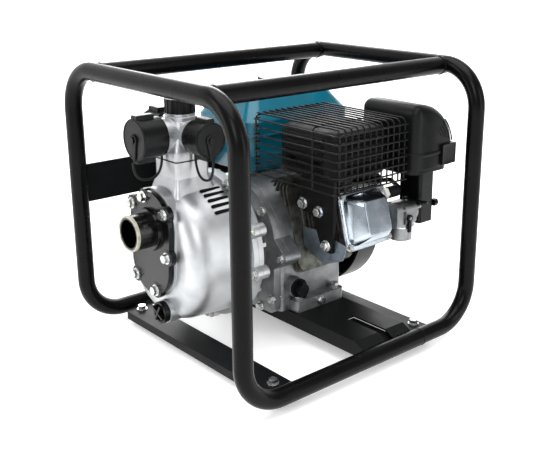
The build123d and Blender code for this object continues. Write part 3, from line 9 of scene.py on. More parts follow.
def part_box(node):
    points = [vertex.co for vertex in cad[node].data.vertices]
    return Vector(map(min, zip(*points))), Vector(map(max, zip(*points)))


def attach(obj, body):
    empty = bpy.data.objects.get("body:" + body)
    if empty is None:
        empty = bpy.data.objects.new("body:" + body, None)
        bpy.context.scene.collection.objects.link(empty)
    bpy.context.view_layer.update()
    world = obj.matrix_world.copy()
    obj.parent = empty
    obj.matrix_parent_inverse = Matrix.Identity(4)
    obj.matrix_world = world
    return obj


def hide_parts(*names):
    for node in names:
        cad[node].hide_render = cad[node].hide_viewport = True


MM = 0.001
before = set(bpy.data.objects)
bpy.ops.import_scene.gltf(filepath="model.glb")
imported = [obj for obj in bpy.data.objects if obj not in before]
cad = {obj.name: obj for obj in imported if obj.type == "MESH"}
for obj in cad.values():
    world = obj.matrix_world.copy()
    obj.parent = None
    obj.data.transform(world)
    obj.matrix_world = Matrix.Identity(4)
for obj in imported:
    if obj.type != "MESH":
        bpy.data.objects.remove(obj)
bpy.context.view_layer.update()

# ------------------------------------------------------------ places taken from the frame (mm)
CRANK_Y, CRANK_Z = 58.0, 148.0
CYLINDER_X, CYLINDER_TILT = 80.0, radians(15.0)
HEAD_TOP = 170.4
RAIL_Y, RAIL_Z, RAIL_END = 133.06, 406.7, 204.6
NOSE_X, NOSE_Z, NOSE_R, NOSE_BORE = -218.0, 191.0, 25.5, 20.5
NECK_X, PORT_Z = -125.0, 322.0
TETHER_R, TETHER_LOW = 1.8, 263.0
TUBE_Y, TUBE_Z, SEAM_X = 195.65, 22.0, 110.0
SLOT_X, SLOT_Y, SLOT_Z = (40.0, 64.0), (106.0, 174.0), (34.6, 36.0)
BRACKET_X, BRACKET_BOLTS = 19.0, ((-42, 212), (-76, 206), (-92, 158))
FIN_COUNT, FIN_PITCH, FIN_FIRST, FIN_THICK = 6, 7.4, 50.0, 2.2
SLOT_TURNS = (112, 118, 124, 130, 136)
PAPER_GLOW, BACKDROP_GLOW, SKY_GLOW = 0.35, 0.75, 0.42


# ------------------------------------------------------------ material helpers
def colour(text):
    """Linear RGBA of an sRGB hex value."""
    parts = [int(text[i : i + 2], 16) / 255 for i in (1, 3, 5)]
    return [c / 12.92 if c <= 0.04045 else ((c + 0.055) / 1.055) ** 2.4 for c in parts] + [1.0]


def add(tree, kind, inputs=None, **settings):
    """A shader node with its settings; an input is a value, or a socket to link."""
    made = tree.nodes.new("ShaderNode" + kind)
    for key, value in settings.items():
        setattr(made, key, value)
    for key, value in (inputs or {}).items():
        if isinstance(value, bpy.types.NodeSocket):
            tree.links.new(value, made.inputs[key])
        else:
            made.inputs[key].default_value = value
    return made


def finish(
    name, dark, light, patch, grain, height, rough, spread, metallic=0.0, coat=0.0, edge=0.6, shine=0.5
):
    """Surface whose tone drifts over patches, with a grain in relief and softened edges (sizes in mm)."""
    material = bpy.data.materials.new(name)
    material.use_nodes = True
    tree = material.node_tree
    shader = tree.nodes["Principled BSDF"]
    shader.inputs["Metallic"].default_value = metallic
    shader.inputs["Specular IOR Level"].default_value = shine
    shader.inputs["Coat Weight"].default_value = coat
    shader.inputs["Coat Roughness"].default_value = 0.12
    place = add(tree, "TexCoord").outputs["Object"]
    drift = add(tree, "TexNoise", {"Vector": place, "Scale": 1 / (patch * MM), "Detail": 4.0})
    tone = add(tree, "ValToRGB", {"Fac": drift.outputs["Fac"]})
    tone.color_ramp.elements[0].position = 0.35
    tone.color_ramp.elements[0].color = colour(dark)
    tone.color_ramp.elements[1].position = 0.65
    tone.color_ramp.elements[1].color = colour(light)
    smear = add(tree, "TexNoise", {"Vector": place, "Scale": 0.37 / (patch * MM), "Detail": 6.0})
    dull = add(
        tree,
        "MapRange",
        {
            "Value": smear.outputs["Fac"],
            "From Min": 0.3,
            "From Max": 0.7,
            "To Min": rough - spread,
            "To Max": rough + spread,
        },
    )
    pits = add(tree, "TexNoise", {"Vector": place, "Scale": 1 / (grain * MM), "Detail": 3.0})
    edges = add(tree, "Bevel", {"Radius": edge * MM}, samples=4)
    relief = add(
        tree,
        "Bump",
        {"Height": pits.outputs["Fac"], "Distance": height * MM, "Normal": edges.outputs["Normal"]},
    )
    tree.links.new(tone.outputs["Color"], shader.inputs["Base Color"])
    tree.links.new(dull.outputs["Result"], shader.inputs["Roughness"])
    tree.links.new(relief.outputs["Normal"], shader.inputs["Normal"])
    return material


def spangle(material, dark, light, size):
    """Swaps the drifting tone for crystal patches of one size (mm)."""
    tree = material.node_tree
    shader = tree.nodes["Principled BSDF"]
    place = add(tree, "TexCoord").outputs["Object"]
    cells = add(tree, "TexVoronoi", {"Vector": place, "Scale": 1 / (size * MM)})
    split = add(tree, "SeparateColor", {"Color": cells.outputs["Color"]})
    tone = add(tree, "ValToRGB", {"Fac": split.outputs["Red"]})
    tone.color_ramp.elements[0].color = colour(dark)
    tone.color_ramp.elements[1].color = colour(light)
    tree.links.new(tone.outputs["Color"], shader.inputs["Base Color"])
    return material


def turned(material, pitch):
    """Adds the fine rings a lathe leaves round the crankshaft axis, drawn at a pitch that shows (mm)."""
    tree = material.node_tree
    relief = next(n for n in tree.nodes if n.type == "BUMP")
    place = add(tree, "TexCoord").outputs["Object"]
    rings = add(
        tree,
        "TexWave",
        {"Vector": place, "Scale": 1 / (pitch * MM) / 20, "Distortion": 0.4},
        wave_type="BANDS",
        bands_direction="X",
    )
    ridge = add(
        tree,
        "Bump",
        {"Height": rings.outputs["Fac"], "Distance": 0.05 * MM, "Normal": relief.outputs["Normal"]},
    )
    tree.links.new(ridge.outputs["Normal"], tree.nodes["Principled BSDF"].inputs["Normal"])
    return material


# ------------------------------------------------------------ materials
# Polyester powder coat, baked on steel tube: near-black, soft orange-peel highlights.
powder_coat = finish(
    "powder coat black", "#040405", "#070708", 40, 2.2, 0.05, 0.27, 0.04, 0.0, 0.02, 0.8, 0.1
)
# Satin stoved paint on folded sheet: flatter than the tubes, a little dusty.
satin_sheet = finish(
    "satin paint on sheet", "#060708", "#0a0b0c", 30, 1.8, 0.04, 0.4, 0.06, 0.0, 0.0, 0.7, 0.11
)
# Vulcanised rubber, moulded: dull dark grey-black with a faint bloom.
rubber = finish("moulded rubber", "#0b0b0c", "#151515", 9, 1.2, 0.05, 0.62, 0.08, shine=0.25)
# Bright zinc plate on steel: cool silver with faint straw and blue drifts.
zinc = finish("bright zinc plate", "#a9afb8", "#d8d6cc", 5, 1.6, 0.04, 0.26, 0.08, 1.0, 0.0, 0.5)
# Pressure die-cast aluminium, shot-blasted: pale satin silver with soft broad highlights.
die_cast = finish("die-cast aluminium", "#b0b2b5", "#bfc1c3", 26, 1.5, 0.07, 0.43, 0.03, 1.0, 0.0, 1.4)
# Sand-textured engine casting: darker, warm grey, dull.
engine_cast = finish("engine casting", "#7f8183", "#97999a", 16, 1.8, 0.12, 0.44, 0.04, 0.95, 0.0, 1.0)
# Aluminium fins left as cast under a heat film: dark grey, lighter only where they catch light.
fin_cast = finish("cast fins", "#3f3f3c", "#686863", 12, 1.6, 0.12, 0.48, 0.08, 0.9, 0.0, 0.8)
# Grey iron, as cast: dark, grainy, barely metallic.
iron = finish("grey cast iron", "#2c2c2d", "#454444", 14, 1.6, 0.2, 0.6, 0.08, 0.7)
# Carbon steel, turned and ground: bright with fine lathe rings.
turned_steel = turned(finish("turned steel", "#8d8f92", "#b5b6b8", 20, 1.4, 0.03, 0.28, 0.06, 1.0), 1.6)
# Glossy black enamel over a rough casting: deep black with lumpy reflections.
enamel_casting = finish(
    "black enamel on casting", "#020203", "#050506", 20, 3.0, 0.3, 0.2, 0.05, 0.0, 0.18, 1.2, 0.2
)
# Glass-filled nylon, injection moulded: black with a low even sheen.
nylon = finish(
    "moulded nylon black", "#060708", "#0b0c0d", 18, 1.0, 0.05, 0.32, 0.06, 0.0, 0.0, 0.8, 0.17
)
# ABS cover with a spark-eroded mould grain: matt charcoal with wide soft highlights.
abs_cover = finish(
    "grained abs charcoal", "#08090a", "#0e0f10", 26, 1.1, 0.08, 0.36, 0.05, 0.0, 0.0, 1.6, 0.16
)
# Black stoved paint on pressed steel shrouds.
shroud_paint = finish(
    "stoved paint black", "#070708", "#0c0c0d", 30, 2.4, 0.05, 0.3, 0.06, 0.0, 0.05, 1.0, 0.25
)
# Heat-proof silicone paint: flat black that greys in patches where it has been hot.
heat_paint = finish(
    "heat-proof paint", "#040404", "#0a0a0a", 22, 1.4, 0.1, 0.46, 0.08, 0.0, 0.0, 1.6, 0.12
)
# Welded wire dipped in black coating.
coated_wire = finish("dipped wire", "#050505", "#0a0a0a", 8, 1.5, 0.05, 0.32, 0.06, 0.0, 0.02, 0.3, 0.2)
# Hot-dip galvanised sheet: blue-grey crystal spangle.
galvanised = finish("galvanised sheet", "#7f8b97", "#a3adb6", 9, 1.6, 0.03, 0.34, 0.08, 0.95)
spangle(galvanised, "#87929d", "#9ba6b0", 4.0)
# Bright pressed steel, nickel-chrome flash: mirror-like with slow waves from the press.
pressed_bright = finish(
    "pressed bright steel", "#9fa9b3", "#bcc5cd", 30, 9.0, 0.1, 0.24, 0.05, 1.0, 0.0, 1.2
)
# Two-pack enamel over pressed steel: glossy blue-green, deepest on the shaded sides.
teal_enamel = finish(
    "blue-green enamel", "#075568", "#0a6277", 60, 3.5, 0.03, 0.24, 0.04, 0.0, 0.25, 3.0, 0.25
)
# Glazed alumina ceramic.
ceramic = finish("glazed ceramic", "#dedbd2", "#f1efe8", 10, 2.0, 0.02, 0.18, 0.04, 0.0, 0.5)
# Bare machined ring with dried sealing compound: cream.
bare_ring = finish("bare ring with sealant", "#8f8b7c", "#b4af9e", 6, 1.2, 0.08, 0.5, 0.08)
# Painted shade: flat black-brown standing in for the shade in deep recesses between cast ribs, such as the
# bottoms of the barrel's slots.
painted_recess_shade = finish("shaded recess", "#050505", "#0c0c0b", 10, 1.5, 0.1, 0.8, 0.05, shine=0.1)
# White paper sweep of the studio.
studio_floor = finish("seamless studio paper", "#f2f2f1", "#f5f5f4", 900, 40.0, 0.02, 0.85, 0.03)

WEARS = {
    powder_coat: "frame_hoop_pump frame_hoop_engine frame_rails",
    satin_sheet: "frame_channel engine_base frame_back_plate",
    rubber: "rubber_feet manifold_gasket check_valve spark_plug_lead tether_large tether_near tether_far",
    zinc: "frame_bolts pump_bolts suction_bolts crankcase_bolts engine_foot_bolts oil_drain_bolt"
    " throttle_lever shaft_seal",
    die_cast: "pump_casing pump_rear_cover outlet_manifold",
    engine_cast: "crankcase crankcase_cover piston connecting_rod carburettor",
    fin_cast: "cylinder_head",
    iron: "pump_volute impeller flywheel camshaft",
    turned_steel: "crankshaft valves",
    enamel_casting: "suction_flange",
    nylon: "drain_plug priming_cap outlet_cap_large outlet_cap_near outlet_cap_far oil_filler_cap"
    " air_cleaner_base fuel_cap recoil_handle starter_pulley engine_switch choke_lever fuel_valve",
    abs_cover: "air_cleaner_cover",
    shroud_paint: "fan_housing recoil_cover",
    pressed_bright: "valve_cover",
    heat_paint: "muffler exhaust_bracket",
    coated_wire: "muffler_guard",
    galvanised: "cylinder_shroud",
    teal_enamel: "fuel_tank",
    ceramic: "spark_plug",
}
for material, names in WEARS.items():
    for name in names.split():
        cad[name].data.materials.clear()
        cad[name].data.materials.append(material)


# ------------------------------------------------------------ modelling helpers (all sizes in mm)
def start(name):
    """Names the primitive just added and enters edit mode with nothing selected."""
    piece = bpy.context.object
    piece.name = name
    piece.data.name = name
    bpy.ops.object.transform_apply(location=True, rotation=True, scale=True)
    bpy.ops.object.mode_set(mode="EDIT")
    bpy.ops.mesh.select_all(action="DESELECT")
    return piece


def pick(piece, kind, test):
    """Selects the edges, faces or vertices whose middle passes a test, in edit mode."""
    modes = {"edges": "EDGE", "polygons": "FACE", "vertices": "VERT"}
    bpy.ops.mesh.select_all(action="DESELECT")
    bpy.ops.mesh.select_mode(type=modes[kind])
    bpy.ops.object.mode_set(mode="OBJECT")
    points = [v.co / MM for v in piece.data.vertices]
    for item in getattr(piece.data, kind):
        if kind == "vertices":
            item.select = bool(test(points[item.index]))
        elif kind == "edges":
            a, b = (points[i] for i in item.vertices)
            item.select = bool(test((a + b) / 2, b - a))
        else:
            item.select = bool(test(item.center / MM, item.normal))
    bpy.ops.object.mode_set(mode="EDIT")


def close(piece, material, body="machine", smooth=35):
    """Leaves edit mode, turns the faces outwards, dresses the piece and lets it ride."""
    bpy.ops.mesh.select_all(action="SELECT")
    bpy.ops.mesh.normals_make_consistent(inside=False)
    bpy.ops.object.mode_set(mode="OBJECT")
    bpy.ops.object.shade_smooth_by_angle(angle=radians(smooth))
    piece.data.materials.clear()
    piece.data.materials.append(material)
    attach(piece, body)
    bpy.ops.object.select_all(action="DESELECT")
    return piece


def block(name, low, high):
    """A box between two corners, ready to shape."""
    bpy.ops.object.select_all(action="DESELECT")
    low, high = Vector(low) * MM, Vector(high) * MM
    bpy.ops.mesh.primitive_cube_add(size=1, location=(low + high) / 2)
    bpy.context.object.scale = high - low
    return start(name)


def disc(name, centre, radius, depth, axis="Z", sides=64, grow=1.0):
    """A round or many-sided bar about a row axis; grow widens its far end."""
    turns = {"X": (0, pi / 2, 0), "Y": (pi / 2, 0, 0), "Z": (0, 0, 0)}
    bpy.ops.object.select_all(action="DESELECT")
    bpy.ops.mesh.primitive_cone_add(
        vertices=sides,
        radius1=radius * MM,
        radius2=radius * grow * MM,
        depth=depth * MM,
        location=Vector(centre) * MM,
        rotation=turns[axis],
    )
    return start(name)


def ring(name, centre, outer, inner, depth, axis="Z"):
    """A flat-sided ring about a row axis."""
    piece = disc(name, centre, outer, depth, axis, 72)
    way = {"X": Vector((1, 0, 0)), "Y": Vector((0, 1, 0)), "Z": Vector((0, 0, 1))}[axis]
    pick(piece, "polygons", lambda c, n: abs(n.dot(way)) > 0.9)
    bpy.ops.mesh.inset(thickness=(outer - inner) * MM, use_individual=True)
    bpy.ops.mesh.bridge_edge_loops()
    return piece


def join(name, pieces):
    """One object from several."""
    bpy.ops.object.select_all(action="DESELECT")
    for piece in pieces:
        piece.select_set(True)
    bpy.context.view_layer.objects.active = pieces[0]
    bpy.ops.object.join()
    pieces[0].name = name
    pieces[0].data.name = name
    return pieces[0]


# ------------------------------------------------------------ air cleaner cover
def air_cleaner():
    """Moulded cover: a tall rounded box whose top rolls over towards the fan end."""
    low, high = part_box("air_cleaner_cover")
    x0, y0, z0 = low / MM
    x1, y1, z1 = high / MM
    cover = block("air_cleaner_shell", (x0, y0, z0), (x1, y1, z1))
    # the long roll of the top towards the fan end
    pick(cover, "edges", lambda m, d: abs(d.y) > 50 and m.z > z1 - 1 and m.x > x1 - 1)
    bpy.ops.mesh.bevel(offset=72 * MM, segments=16, profile=0.5, affect="EDGES")
    pick(cover, "edges", lambda m, d: abs(d.y) > 50 and m.z > z1 - 1 and m.x < x0 + 1)
    bpy.ops.mesh.bevel(offset=14 * MM, segments=5, profile=0.5, affect="EDGES")
    # every edge of the two end faces, and the upright corners, is rounded
    pick(
        cover,
        "edges",
        lambda m, d: (abs(m.y - y0) < 1 or abs(m.y - y1) < 1) and abs(d.y) < 0.1 and m.z > z0 + 1,
    )
    bpy.ops.mesh.bevel(offset=14 * MM, segments=6, profile=0.5, affect="EDGES", clamp_overlap=True)
    close(cover, abs_cover, smooth=50)
    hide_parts("air_cleaner_cover")

    # lower rim that the cover closes on, with a parting step
    rim = block("air_cleaner_rim", (x0 - 1.6, y0 - 1.6, z0 + 19), (x1 - 1, y1 + 1.6, z0 + 25))
    pick(rim, "edges", lambda m, d: abs(d.z) > 1)
    bpy.ops.mesh.bevel(offset=15 * MM, segments=6, affect="EDGES")
    pick(rim, "edges", lambda m, d: abs(d.z) < 0.1)
    bpy.ops.mesh.bevel(offset=1.2 * MM, segments=2, affect="EDGES")
    close(rim, abs_cover, smooth=50)

    # latch box at the front corner, with its spring tongue
    latch = block("air_cleaner_latch", (x1 - 32, y0 - 4.5, z0 + 2), (x1 - 1.5, y0 + 8, z0 + 33))
    pick(latch, "polygons", lambda c, n: n.y < -0.9)
    bpy.ops.mesh.inset(thickness=3 * MM)
    bpy.ops.transform.translate(value=(0, 1.4 * MM, 0))
    pick(latch, "edges", lambda m, d: m.y < y0 - 2)
    bpy.ops.mesh.bevel(offset=0.9 * MM, segments=2, affect="EDGES")
    close(latch, abs_cover)

    # raised ribs that follow the roll on the front face
    ribs = []
    for step in range(5):
        bpy.ops.object.select_all(action="DESELECT")
        bpy.ops.mesh.primitive_torus_add(
            major_radius=(66 - 5.0 * step) * MM,
            minor_radius=1.1 * MM,
            major_segments=96,
            minor_segments=10,
            location=Vector((x1 - 72, y0 + 0.3, z1 - 72)) * MM,
            rotation=(pi / 2, 0, 0),
        )
        rib = start("rib")
        reach = 14 + 2 * step
        pick(
            rib,
            "polygons",
            lambda c, n: not (
                c.x > x1 - 72
                and reach < (c.z - z1 + 72)
                and (c.z - z1 + 72) < (c.x - x1 + 72) * 0.95
            ),
        )
        bpy.ops.mesh.delete(type="FACE")
        bpy.ops.mesh.select_mode(type="EDGE")
        bpy.ops.mesh.select_non_manifold()
        bpy.ops.mesh.edge_face_add()
        bpy.ops.object.mode_set(mode="OBJECT")
        ribs.append(rib)
    ribs = join("air_cleaner_ribs", ribs)
    bpy.ops.object.mode_set(mode="EDIT")
    close(ribs, abs_cover, smooth=60)


air_cleaner()


# ------------------------------------------------------------ rocker cover
def rocker_cover():
    """Deep pressed pan on a stepped flange, square to the tilted cylinder."""
    along = Vector((0, -cos(CYLINDER_TILT), sin(CYLINDER_TILT)))
    up = Vector((0, sin(CYLINDER_TILT), cos(CYLINDER_TILT)))
    seat = Vector((CYLINDER_X, CRANK_Y, CRANK_Z)) + along * HEAD_TOP
    pan = block("rocker_pan", (-46, -44, 0), (46, 44, 2.2))
    pick(pan, "edges", lambda m, d: abs(d.z) > 1)
    bpy.ops.mesh.bevel(offset=13 * MM, segments=6, affect="EDGES")
    # stepped flange, then the pan drawn up in pulls: rise, and how far the end draws in
    pick(pan, "polygons", lambda c, n: n.z > 0.9 and c.z > 2)
    for rise, wide, tall in (
        (0.0, 0.97, 0.97),
        (1.6, 0.995, 0.995),
        (0.0, 0.88, 0.88),
        (7.0, 0.965, 0.97),
        (9.5, 0.84, 0.88),
        (8.0, 0.82, 0.86),
        (2.6, 0.9, 0.91),
    ):
        bpy.ops.mesh.extrude_region_move(TRANSFORM_OT_translate={"value": (0, 0, rise * MM)})
        bpy.ops.transform.resize(value=(wide, tall, 1), center_override=(0, 0, 0))
    bpy.ops.object.mode_set(mode="OBJECT")
    soft = pan.modifiers.new("press radius", "BEVEL")
    soft.width = 1.4 * MM
    soft.segments = 3
    soft.limit_method = "ANGLE"
    soft.angle_limit = radians(22)
    bpy.ops.object.modifier_apply(modifier=soft.name)
    turn = Matrix(((1, 0, 0), up, along)).transposed().to_4x4()
    turn.translation = seat * MM
    pan.matrix_world = turn
    bpy.ops.object.transform_apply(location=True, rotation=True, scale=True)
    bpy.ops.object.mode_set(mode="EDIT")
    close(pan, pressed_bright, smooth=40)
    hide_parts("valve_cover")

    # flange bolts, each with its washer, at the corners
    bolts = []
    for x, y in ((-40, -37), (40, -37), (40, 37), (-40, 37)):
        head = disc("bolt", (x, y, 5.4), 5.0, 4.4, "Z", 6, 0.94)
        bpy.ops.object.mode_set(mode="OBJECT")
        washer = disc("washer", (x, y, 2.9), 6.6, 1.0, "Z", 28, 0.95)
        bpy.ops.object.mode_set(mode="OBJECT")
        bolts += [head, washer]
    bolts = join("rocker_bolts", bolts)
    bolts.matrix_world = turn
    bpy.ops.object.transform_apply(location=True, rotation=True, scale=True)
    bpy.ops.object.mode_set(mode="EDIT")
    close(bolts, zinc)


rocker_cover()


# ------------------------------------------------------------ silencer louvres inside the guard
def louvres():
    """Pressed slats on the silencer's front and pump-side faces."""
    slats = []
    for row in range(6):
        z = 268 + 9.5 * row
        front = block("slat", (22, -127.2, z), (100, -123.4, z + 4.6))
        pick(front, "vertices", lambda p: p.y < -126 and p.z > z + 1)
        bpy.ops.transform.translate(value=(0, 3.2 * MM, 0))
        bpy.ops.object.mode_set(mode="OBJECT")
        side = block("slat", (-0.2, -100, z), (3.6, -22, z + 4.6))
        pick(side, "vertices", lambda p: p.x < 1 and p.z > z + 1)
        bpy.ops.transform.translate(value=(3.2 * MM, 0, 0))
        bpy.ops.object.mode_set(mode="OBJECT")
        slats += [front, side]
    slats = join("silencer_louvres", slats)
    bpy.ops.object.mode_set(mode="EDIT")
    close(slats, heat_paint)


louvres()


# ------------------------------------------------------------ suction nose and outlet caps
lip = ring("nose_lip", (NOSE_X + 1.8, CRANK_Y, NOSE_Z), NOSE_R + 0.3, NOSE_BORE + 2.6, 4.2, "X")
close(lip, bare_ring)


def strap(name, body, centre, across, out, low_z):
    """Tapered rubber tongue from the button of a cap down to its tether."""
    side, out = Vector(across), Vector(out)
    piece = disc(name, (0, 0, 0), 8.0, 2.2, "Z", 40)
    pick(piece, "vertices", lambda p: p.y < -5)
    bpy.ops.transform.translate(value=(0, -(PORT_Z - low_z - 8) * MM, 0))
    bpy.ops.transform.resize(value=(0.5, 1, 1), center_override=(0, 0, 0))
    pick(piece, "edges", lambda m, d: abs(d.z) < 0.1)
    bpy.ops.mesh.bevel(offset=0.5 * MM, segments=2, affect="EDGES")
    bpy.ops.object.mode_set(mode="OBJECT")
    place = Matrix((side, Vector((0, 0, 1)), out)).transposed().to_4x4()
    place.translation = Vector(centre) * MM
    piece.matrix_world = place
    bpy.ops.object.transform_apply(location=True, rotation=True, scale=True)
    bpy.ops.object.mode_set(mode="EDIT")
    return close(piece, rubber, body)


strap("strap_large", "outlet_cap_large", (-202.2, CRANK_Y, PORT_Z), (0, -1, 0), (-1, 0, 0), 291)
strap("strap_near", "outlet_cap_near", (NECK_X, -15.2, PORT_Z), (1, 0, 0), (0, -1, 0), 294)
strap("strap_far", "outlet_cap_far", (NECK_X, 131.2, PORT_Z), (-1, 0, 0), (0, 1, 0), 294)


def cap_rim(name, body, centre, radius, axis):
    """Rolled bead round a cap's face."""
    turns = {"X": (0, pi / 2, 0), "Y": (pi / 2, 0, 0)}
    bpy.ops.object.select_all(action="DESELECT")
    bpy.ops.mesh.primitive_torus_add(
        major_radius=radius * MM,
        minor_radius=1.3 * MM,
        major_segments=72,
        minor_segments=10,
        location=Vector(centre) * MM,
        rotation=turns[axis],
    )
    bead = start(name)
    pick(bead, "vertices", lambda p: True)
    bpy.ops.mesh.remove_doubles(threshold=0.00001)
    return close(bead, nylon, body, 60)


cap_rim("rim_large", "outlet_cap_large", (-200.6, CRANK_Y, PORT_Z), 26.6, "X")
cap_rim("rim_near", "outlet_cap_near", (NECK_X, -13.6, PORT_Z), 22.8, "Y")
cap_rim("rim_far", "outlet_cap_far", (NECK_X, 129.6, PORT_Z), 22.8, "Y")


def tether(name, points):
    """Round rubber loop between a cap and its port."""
    data = bpy.data.curves.new(name, "CURVE")
    data.dimensions = "3D"
    data.bevel_depth = TETHER_R * MM
    data.bevel_resolution = 4
    data.resolution_u = 16
    data.use_fill_caps = True
    line = data.splines.new("NURBS")
    line.points.add(len(points) - 1)
    for knot, point in zip(line.points, points):
        knot.co = (*[c * MM for c in point], 1.0)
    line.order_u = 3
    line.use_endpoint_u = True
    data.materials.append(rubber)
    loop = bpy.data.objects.new("loop_" + name, data)
    bpy.context.scene.collection.objects.link(loop)
    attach(loop, "machine")
    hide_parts(name)


def loop_under(first, last):
    return [first, (first[0], first[1], TETHER_LOW), (last[0], last[1], TETHER_LOW), last]


tether("tether_large", loop_under((-204.5, CRANK_Y, 290), (-158.0, CRANK_Y, 296)))
tether("tether_near", loop_under((NECK_X, -18.0, 293), (NECK_X, 24.0, 300)))
tether("tether_far", loop_under((NECK_X, 134.0, 293), (NECK_X, 92.0, 300)))


def cooling_slots():
    """Bottoms of the five slots let into the pump's barrel, coloured near-black as painted shade."""
    floors = []
    for turn in SLOT_TURNS:
        way = Vector((0, cos(radians(turn)), sin(radians(turn))))
        bottom = block("slot", (-122, -2.3, -1), (-87.5, 2.3, 1))
        pick(bottom, "edges", lambda m, d: abs(d.z) > 1)
        bpy.ops.mesh.bevel(offset=2.0 * MM, segments=4, affect="EDGES")
        bpy.ops.object.mode_set(mode="OBJECT")
        side = way.cross(Vector((1, 0, 0)))
        place = Matrix((Vector((1, 0, 0)), side, way)).transposed().to_4x4()
        place.translation = (Vector((0, CRANK_Y, CRANK_Z)) + way * 101.9) * MM
        bottom.matrix_world = place
        bpy.ops.object.transform_apply(location=True, rotation=True, scale=True)
        floors.append(bottom)
    floors = join("casing_slot_painted_shade", floors)
    bpy.ops.object.mode_set(mode="EDIT")
    # near-black painted shade on the slot bottoms, in place of the shade the recesses hold
    close(floors, painted_recess_shade)


cooling_slots()


def slot_covers():
    """Folded strips that close the two slots of the base plate from below."""
    for side, name in ((-1, "near"), (1, "far")):
        ends = sorted(side * y for y in SLOT_Y)
        strip = block(f"base_slot_{name}", (SLOT_X[0], ends[0], SLOT_Z[0]), (SLOT_X[1], ends[1], SLOT_Z[1]))
        pick(strip, "polygons", lambda c, n: n.y * side > 0.9)
        bpy.ops.mesh.extrude_region_move(TRANSFORM_OT_translate={"value": (0, side * 11 * MM, -7 * MM)})
        close(strip, satin_sheet)


slot_covers()


# ------------------------------------------------------------ weld beads of the top rails
def weld(name, x, y):
    """Rippled bead where a top rail runs into a crossbar."""
    bpy.ops.object.select_all(action="DESELECT")
    bpy.ops.mesh.primitive_torus_add(
        major_radius=12.6 * MM,
        minor_radius=1.3 * MM,
        major_segments=96,
        minor_segments=10,
        location=Vector((x, y, RAIL_Z)) * MM,
        rotation=(0, pi / 2, 0),
    )
    bead = start(name)
    bpy.ops.object.mode_set(mode="OBJECT")
    for index, vertex in enumerate(bead.data.vertices):
        vertex.co.x += 0.3 * MM * sin(index // 10 * 2 * pi / 6)
    bpy.ops.object.mode_set(mode="EDIT")
    close(bead, powder_coat, smooth=60)


for end, end_name in ((-1, "pump"), (1, "engine")):
    for side, side_name in ((-1, "near"), (1, "far")):
        weld(f"weld_{end_name}_{side_name}", end * RAIL_END, side * RAIL_Y)


# ------------------------------------------------------------ fins of the cylinder barrel
def barrel_fins():
    """Slanted plates between the crankcase and the head, rounded at their corners."""
    along = Vector((0, -cos(CYLINDER_TILT), sin(CYLINDER_TILT)))
    up = Vector((0, sin(CYLINDER_TILT), cos(CYLINDER_TILT)))
    plates = []
    for step in range(FIN_COUNT):
        reach = 76 - 1.5 * step
        plate = block("fin", (-70, -reach, 0), (44, reach, FIN_THICK))
        pick(plate, "edges", lambda m, d: abs(d.z) > 1)
        bpy.ops.mesh.bevel(offset=14 * MM, segments=6, affect="EDGES")
        pick(plate, "edges", lambda m, d: abs(d.z) < 0.1)
        bpy.ops.mesh.bevel(offset=0.5 * MM, segments=2, affect="EDGES")
        bpy.ops.object.mode_set(mode="OBJECT")
        turn = Matrix(((1, 0, 0), up, along)).transposed().to_4x4()
        rise = along * (FIN_FIRST + FIN_PITCH * step)
        turn.translation = (Vector((CYLINDER_X, CRANK_Y, CRANK_Z)) + rise) * MM
        plate.matrix_world = turn
        bpy.ops.object.transform_apply(location=True, rotation=True, scale=True)
        plates.append(plate)
    plates = join("barrel_fins", plates)
    bpy.ops.object.mode_set(mode="EDIT")
    close(plates, fin_cast)


barrel_fins()

# ------------------------------------------------------------ bolts of the exhaust bracket
heads = []
for y, z in BRACKET_BOLTS:
    washer = disc("washer", (BRACKET_X - 0.8, y, z), 8.6, 1.4, "X", 32)
    bpy.ops.object.mode_set(mode="OBJECT")
    head = disc("head", (BRACKET_X - 4.4, y, z), 6.9, 6.2, "X", 6)
    pick(head, "edges", lambda m, d: m.x < BRACKET_X - 7)
    bpy.ops.mesh.bevel(offset=0.9 * MM, segments=2, affect="EDGES")
    bpy.ops.object.mode_set(mode="OBJECT")
    heads += [washer, head]
heads = join("bracket_bolts", heads)
bpy.ops.object.mode_set(mode="EDIT")
close(heads, zinc)

# ------------------------------------------------------------ seams where the bottom tubes push together
for side, name in ((-1, "near"), (1, "far")):
    seam = ring(f"tube_seam_{name}", (SEAM_X, side * TUBE_Y, TUBE_Z), 13.2, 12.2, 2.6, "X")
    pick(seam, "edges", lambda m, d: abs(d.x) < 0.1)
    bpy.ops.mesh.bevel(offset=0.4 * MM, segments=2, affect="EDGES")
    close(seam, powder_coat)

# ------------------------------------------------------------ carburettor trim
bowl = ring("bowl_bead", (162, -107, 163.5), 20.6, 16.5, 2.4, "Z")
close(bowl, zinc)
stud = disc("carburettor_stud", (158, -124, 192), 2.6, 56, "X", 24)
pick(stud, "edges", lambda m, d: abs(m.x - 186) < 1 or abs(m.x - 130) < 1)
bpy.ops.mesh.bevel(offset=0.6 * MM, segments=2, affect="EDGES")
close(stud, zinc)

# ------------------------------------------------------------ floor, light and camera
bpy.ops.object.select_all(action="DESELECT")
bpy.ops.mesh.primitive_plane_add(size=8, location=(0, 0, 0))
floor = bpy.context.object
floor.name = "studio_floor"
paper = studio_floor.node_tree.nodes["Principled BSDF"]
paper.inputs["Emission Color"].default_value = colour("#ffffff")
paper.inputs["Emission Strength"].default_value = PAPER_GLOW
floor.data.materials.append(studio_floor)

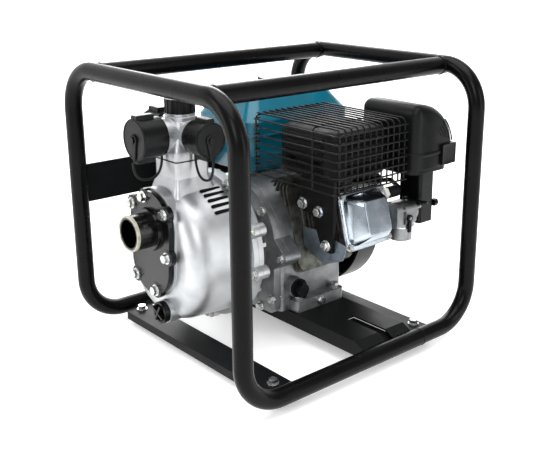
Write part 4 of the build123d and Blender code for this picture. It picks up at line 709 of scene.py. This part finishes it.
backdrop_paper = bpy.data.materials.new("lit backdrop paper")
backdrop_paper.use_nodes = True
lit = backdrop_paper.node_tree.nodes["Principled BSDF"]
lit.inputs["Base Color"].default_value = colour("#f4f4f3")
lit.inputs["Emission Color"].default_value = colour("#ffffff")
lit.inputs["Emission Strength"].default_value = BACKDROP_GLOW
backdrops = []
for place, turn in (((1.9, 2.2, 1.4), -41.5), ((0, 4.0, 1.0), 0)):
    bpy.ops.mesh.primitive_plane_add(size=9, location=place, rotation=(pi / 2, 0, radians(turn)))
    backdrop = bpy.context.object
    backdrop.name = f"backdrop_{len(backdrops)}"
    backdrop.data.materials.append(backdrop_paper)
    backdrops.append(backdrop)


def softbox(name, place, aim, size, power):
    lamp = bpy.data.lights.new(name, "AREA")
    lamp.shape = "RECTANGLE"
    lamp.size, lamp.size_y = size
    lamp.energy = power
    stand = bpy.data.objects.new(name, lamp)
    stand.location = place
    stand.rotation_euler = (Vector(aim) - Vector(place)).to_track_quat("-Z", "Y").to_euler()
    bpy.context.scene.collection.objects.link(stand)


softbox("top", (-0.2, -0.1, 2.3), (0, 0, 0.1), (2.2, 2.2), 62)
softbox("key", (-1.7, -1.5, 1.5), (0, 0, 0.25), (0.7, 1.3), 20)
softbox("fill", (0.8, -2.2, 0.7), (0, 0, 0.2), (0.6, 1.6), 12)
softbox("rim", (-2.1, 0.9, 0.8), (0, 0, 0.2), (0.6, 1.8), 16)
softbox("back", (1.4, 1.9, 1.3), (0, 0, 0.2), (1.2, 1.2), 24)

bpy.context.scene.view_settings.view_transform = "Standard"
world = bpy.data.worlds.new("white studio")
world.use_nodes = True
sky = world.node_tree.nodes["Background"]
sky.inputs["Color"].default_value = (1, 1, 1, 1)
sky.inputs["Strength"].default_value = SKY_GLOW
bpy.context.scene.world = world

view = bpy.data.cameras.new("camera")
view.lens = 56.3
view.shift_x = -0.0425
view.shift_y = -0.0426
camera = bpy.data.objects.new("camera", view)
camera.location = (-0.7930, -0.9466, 0.5743)
camera.rotation_euler = Vector((0.636, 0.7176, -0.2844)).to_track_quat("-Z", "Y").to_euler()
bpy.context.scene.collection.objects.link(camera)
bpy.context.scene.camera = camera
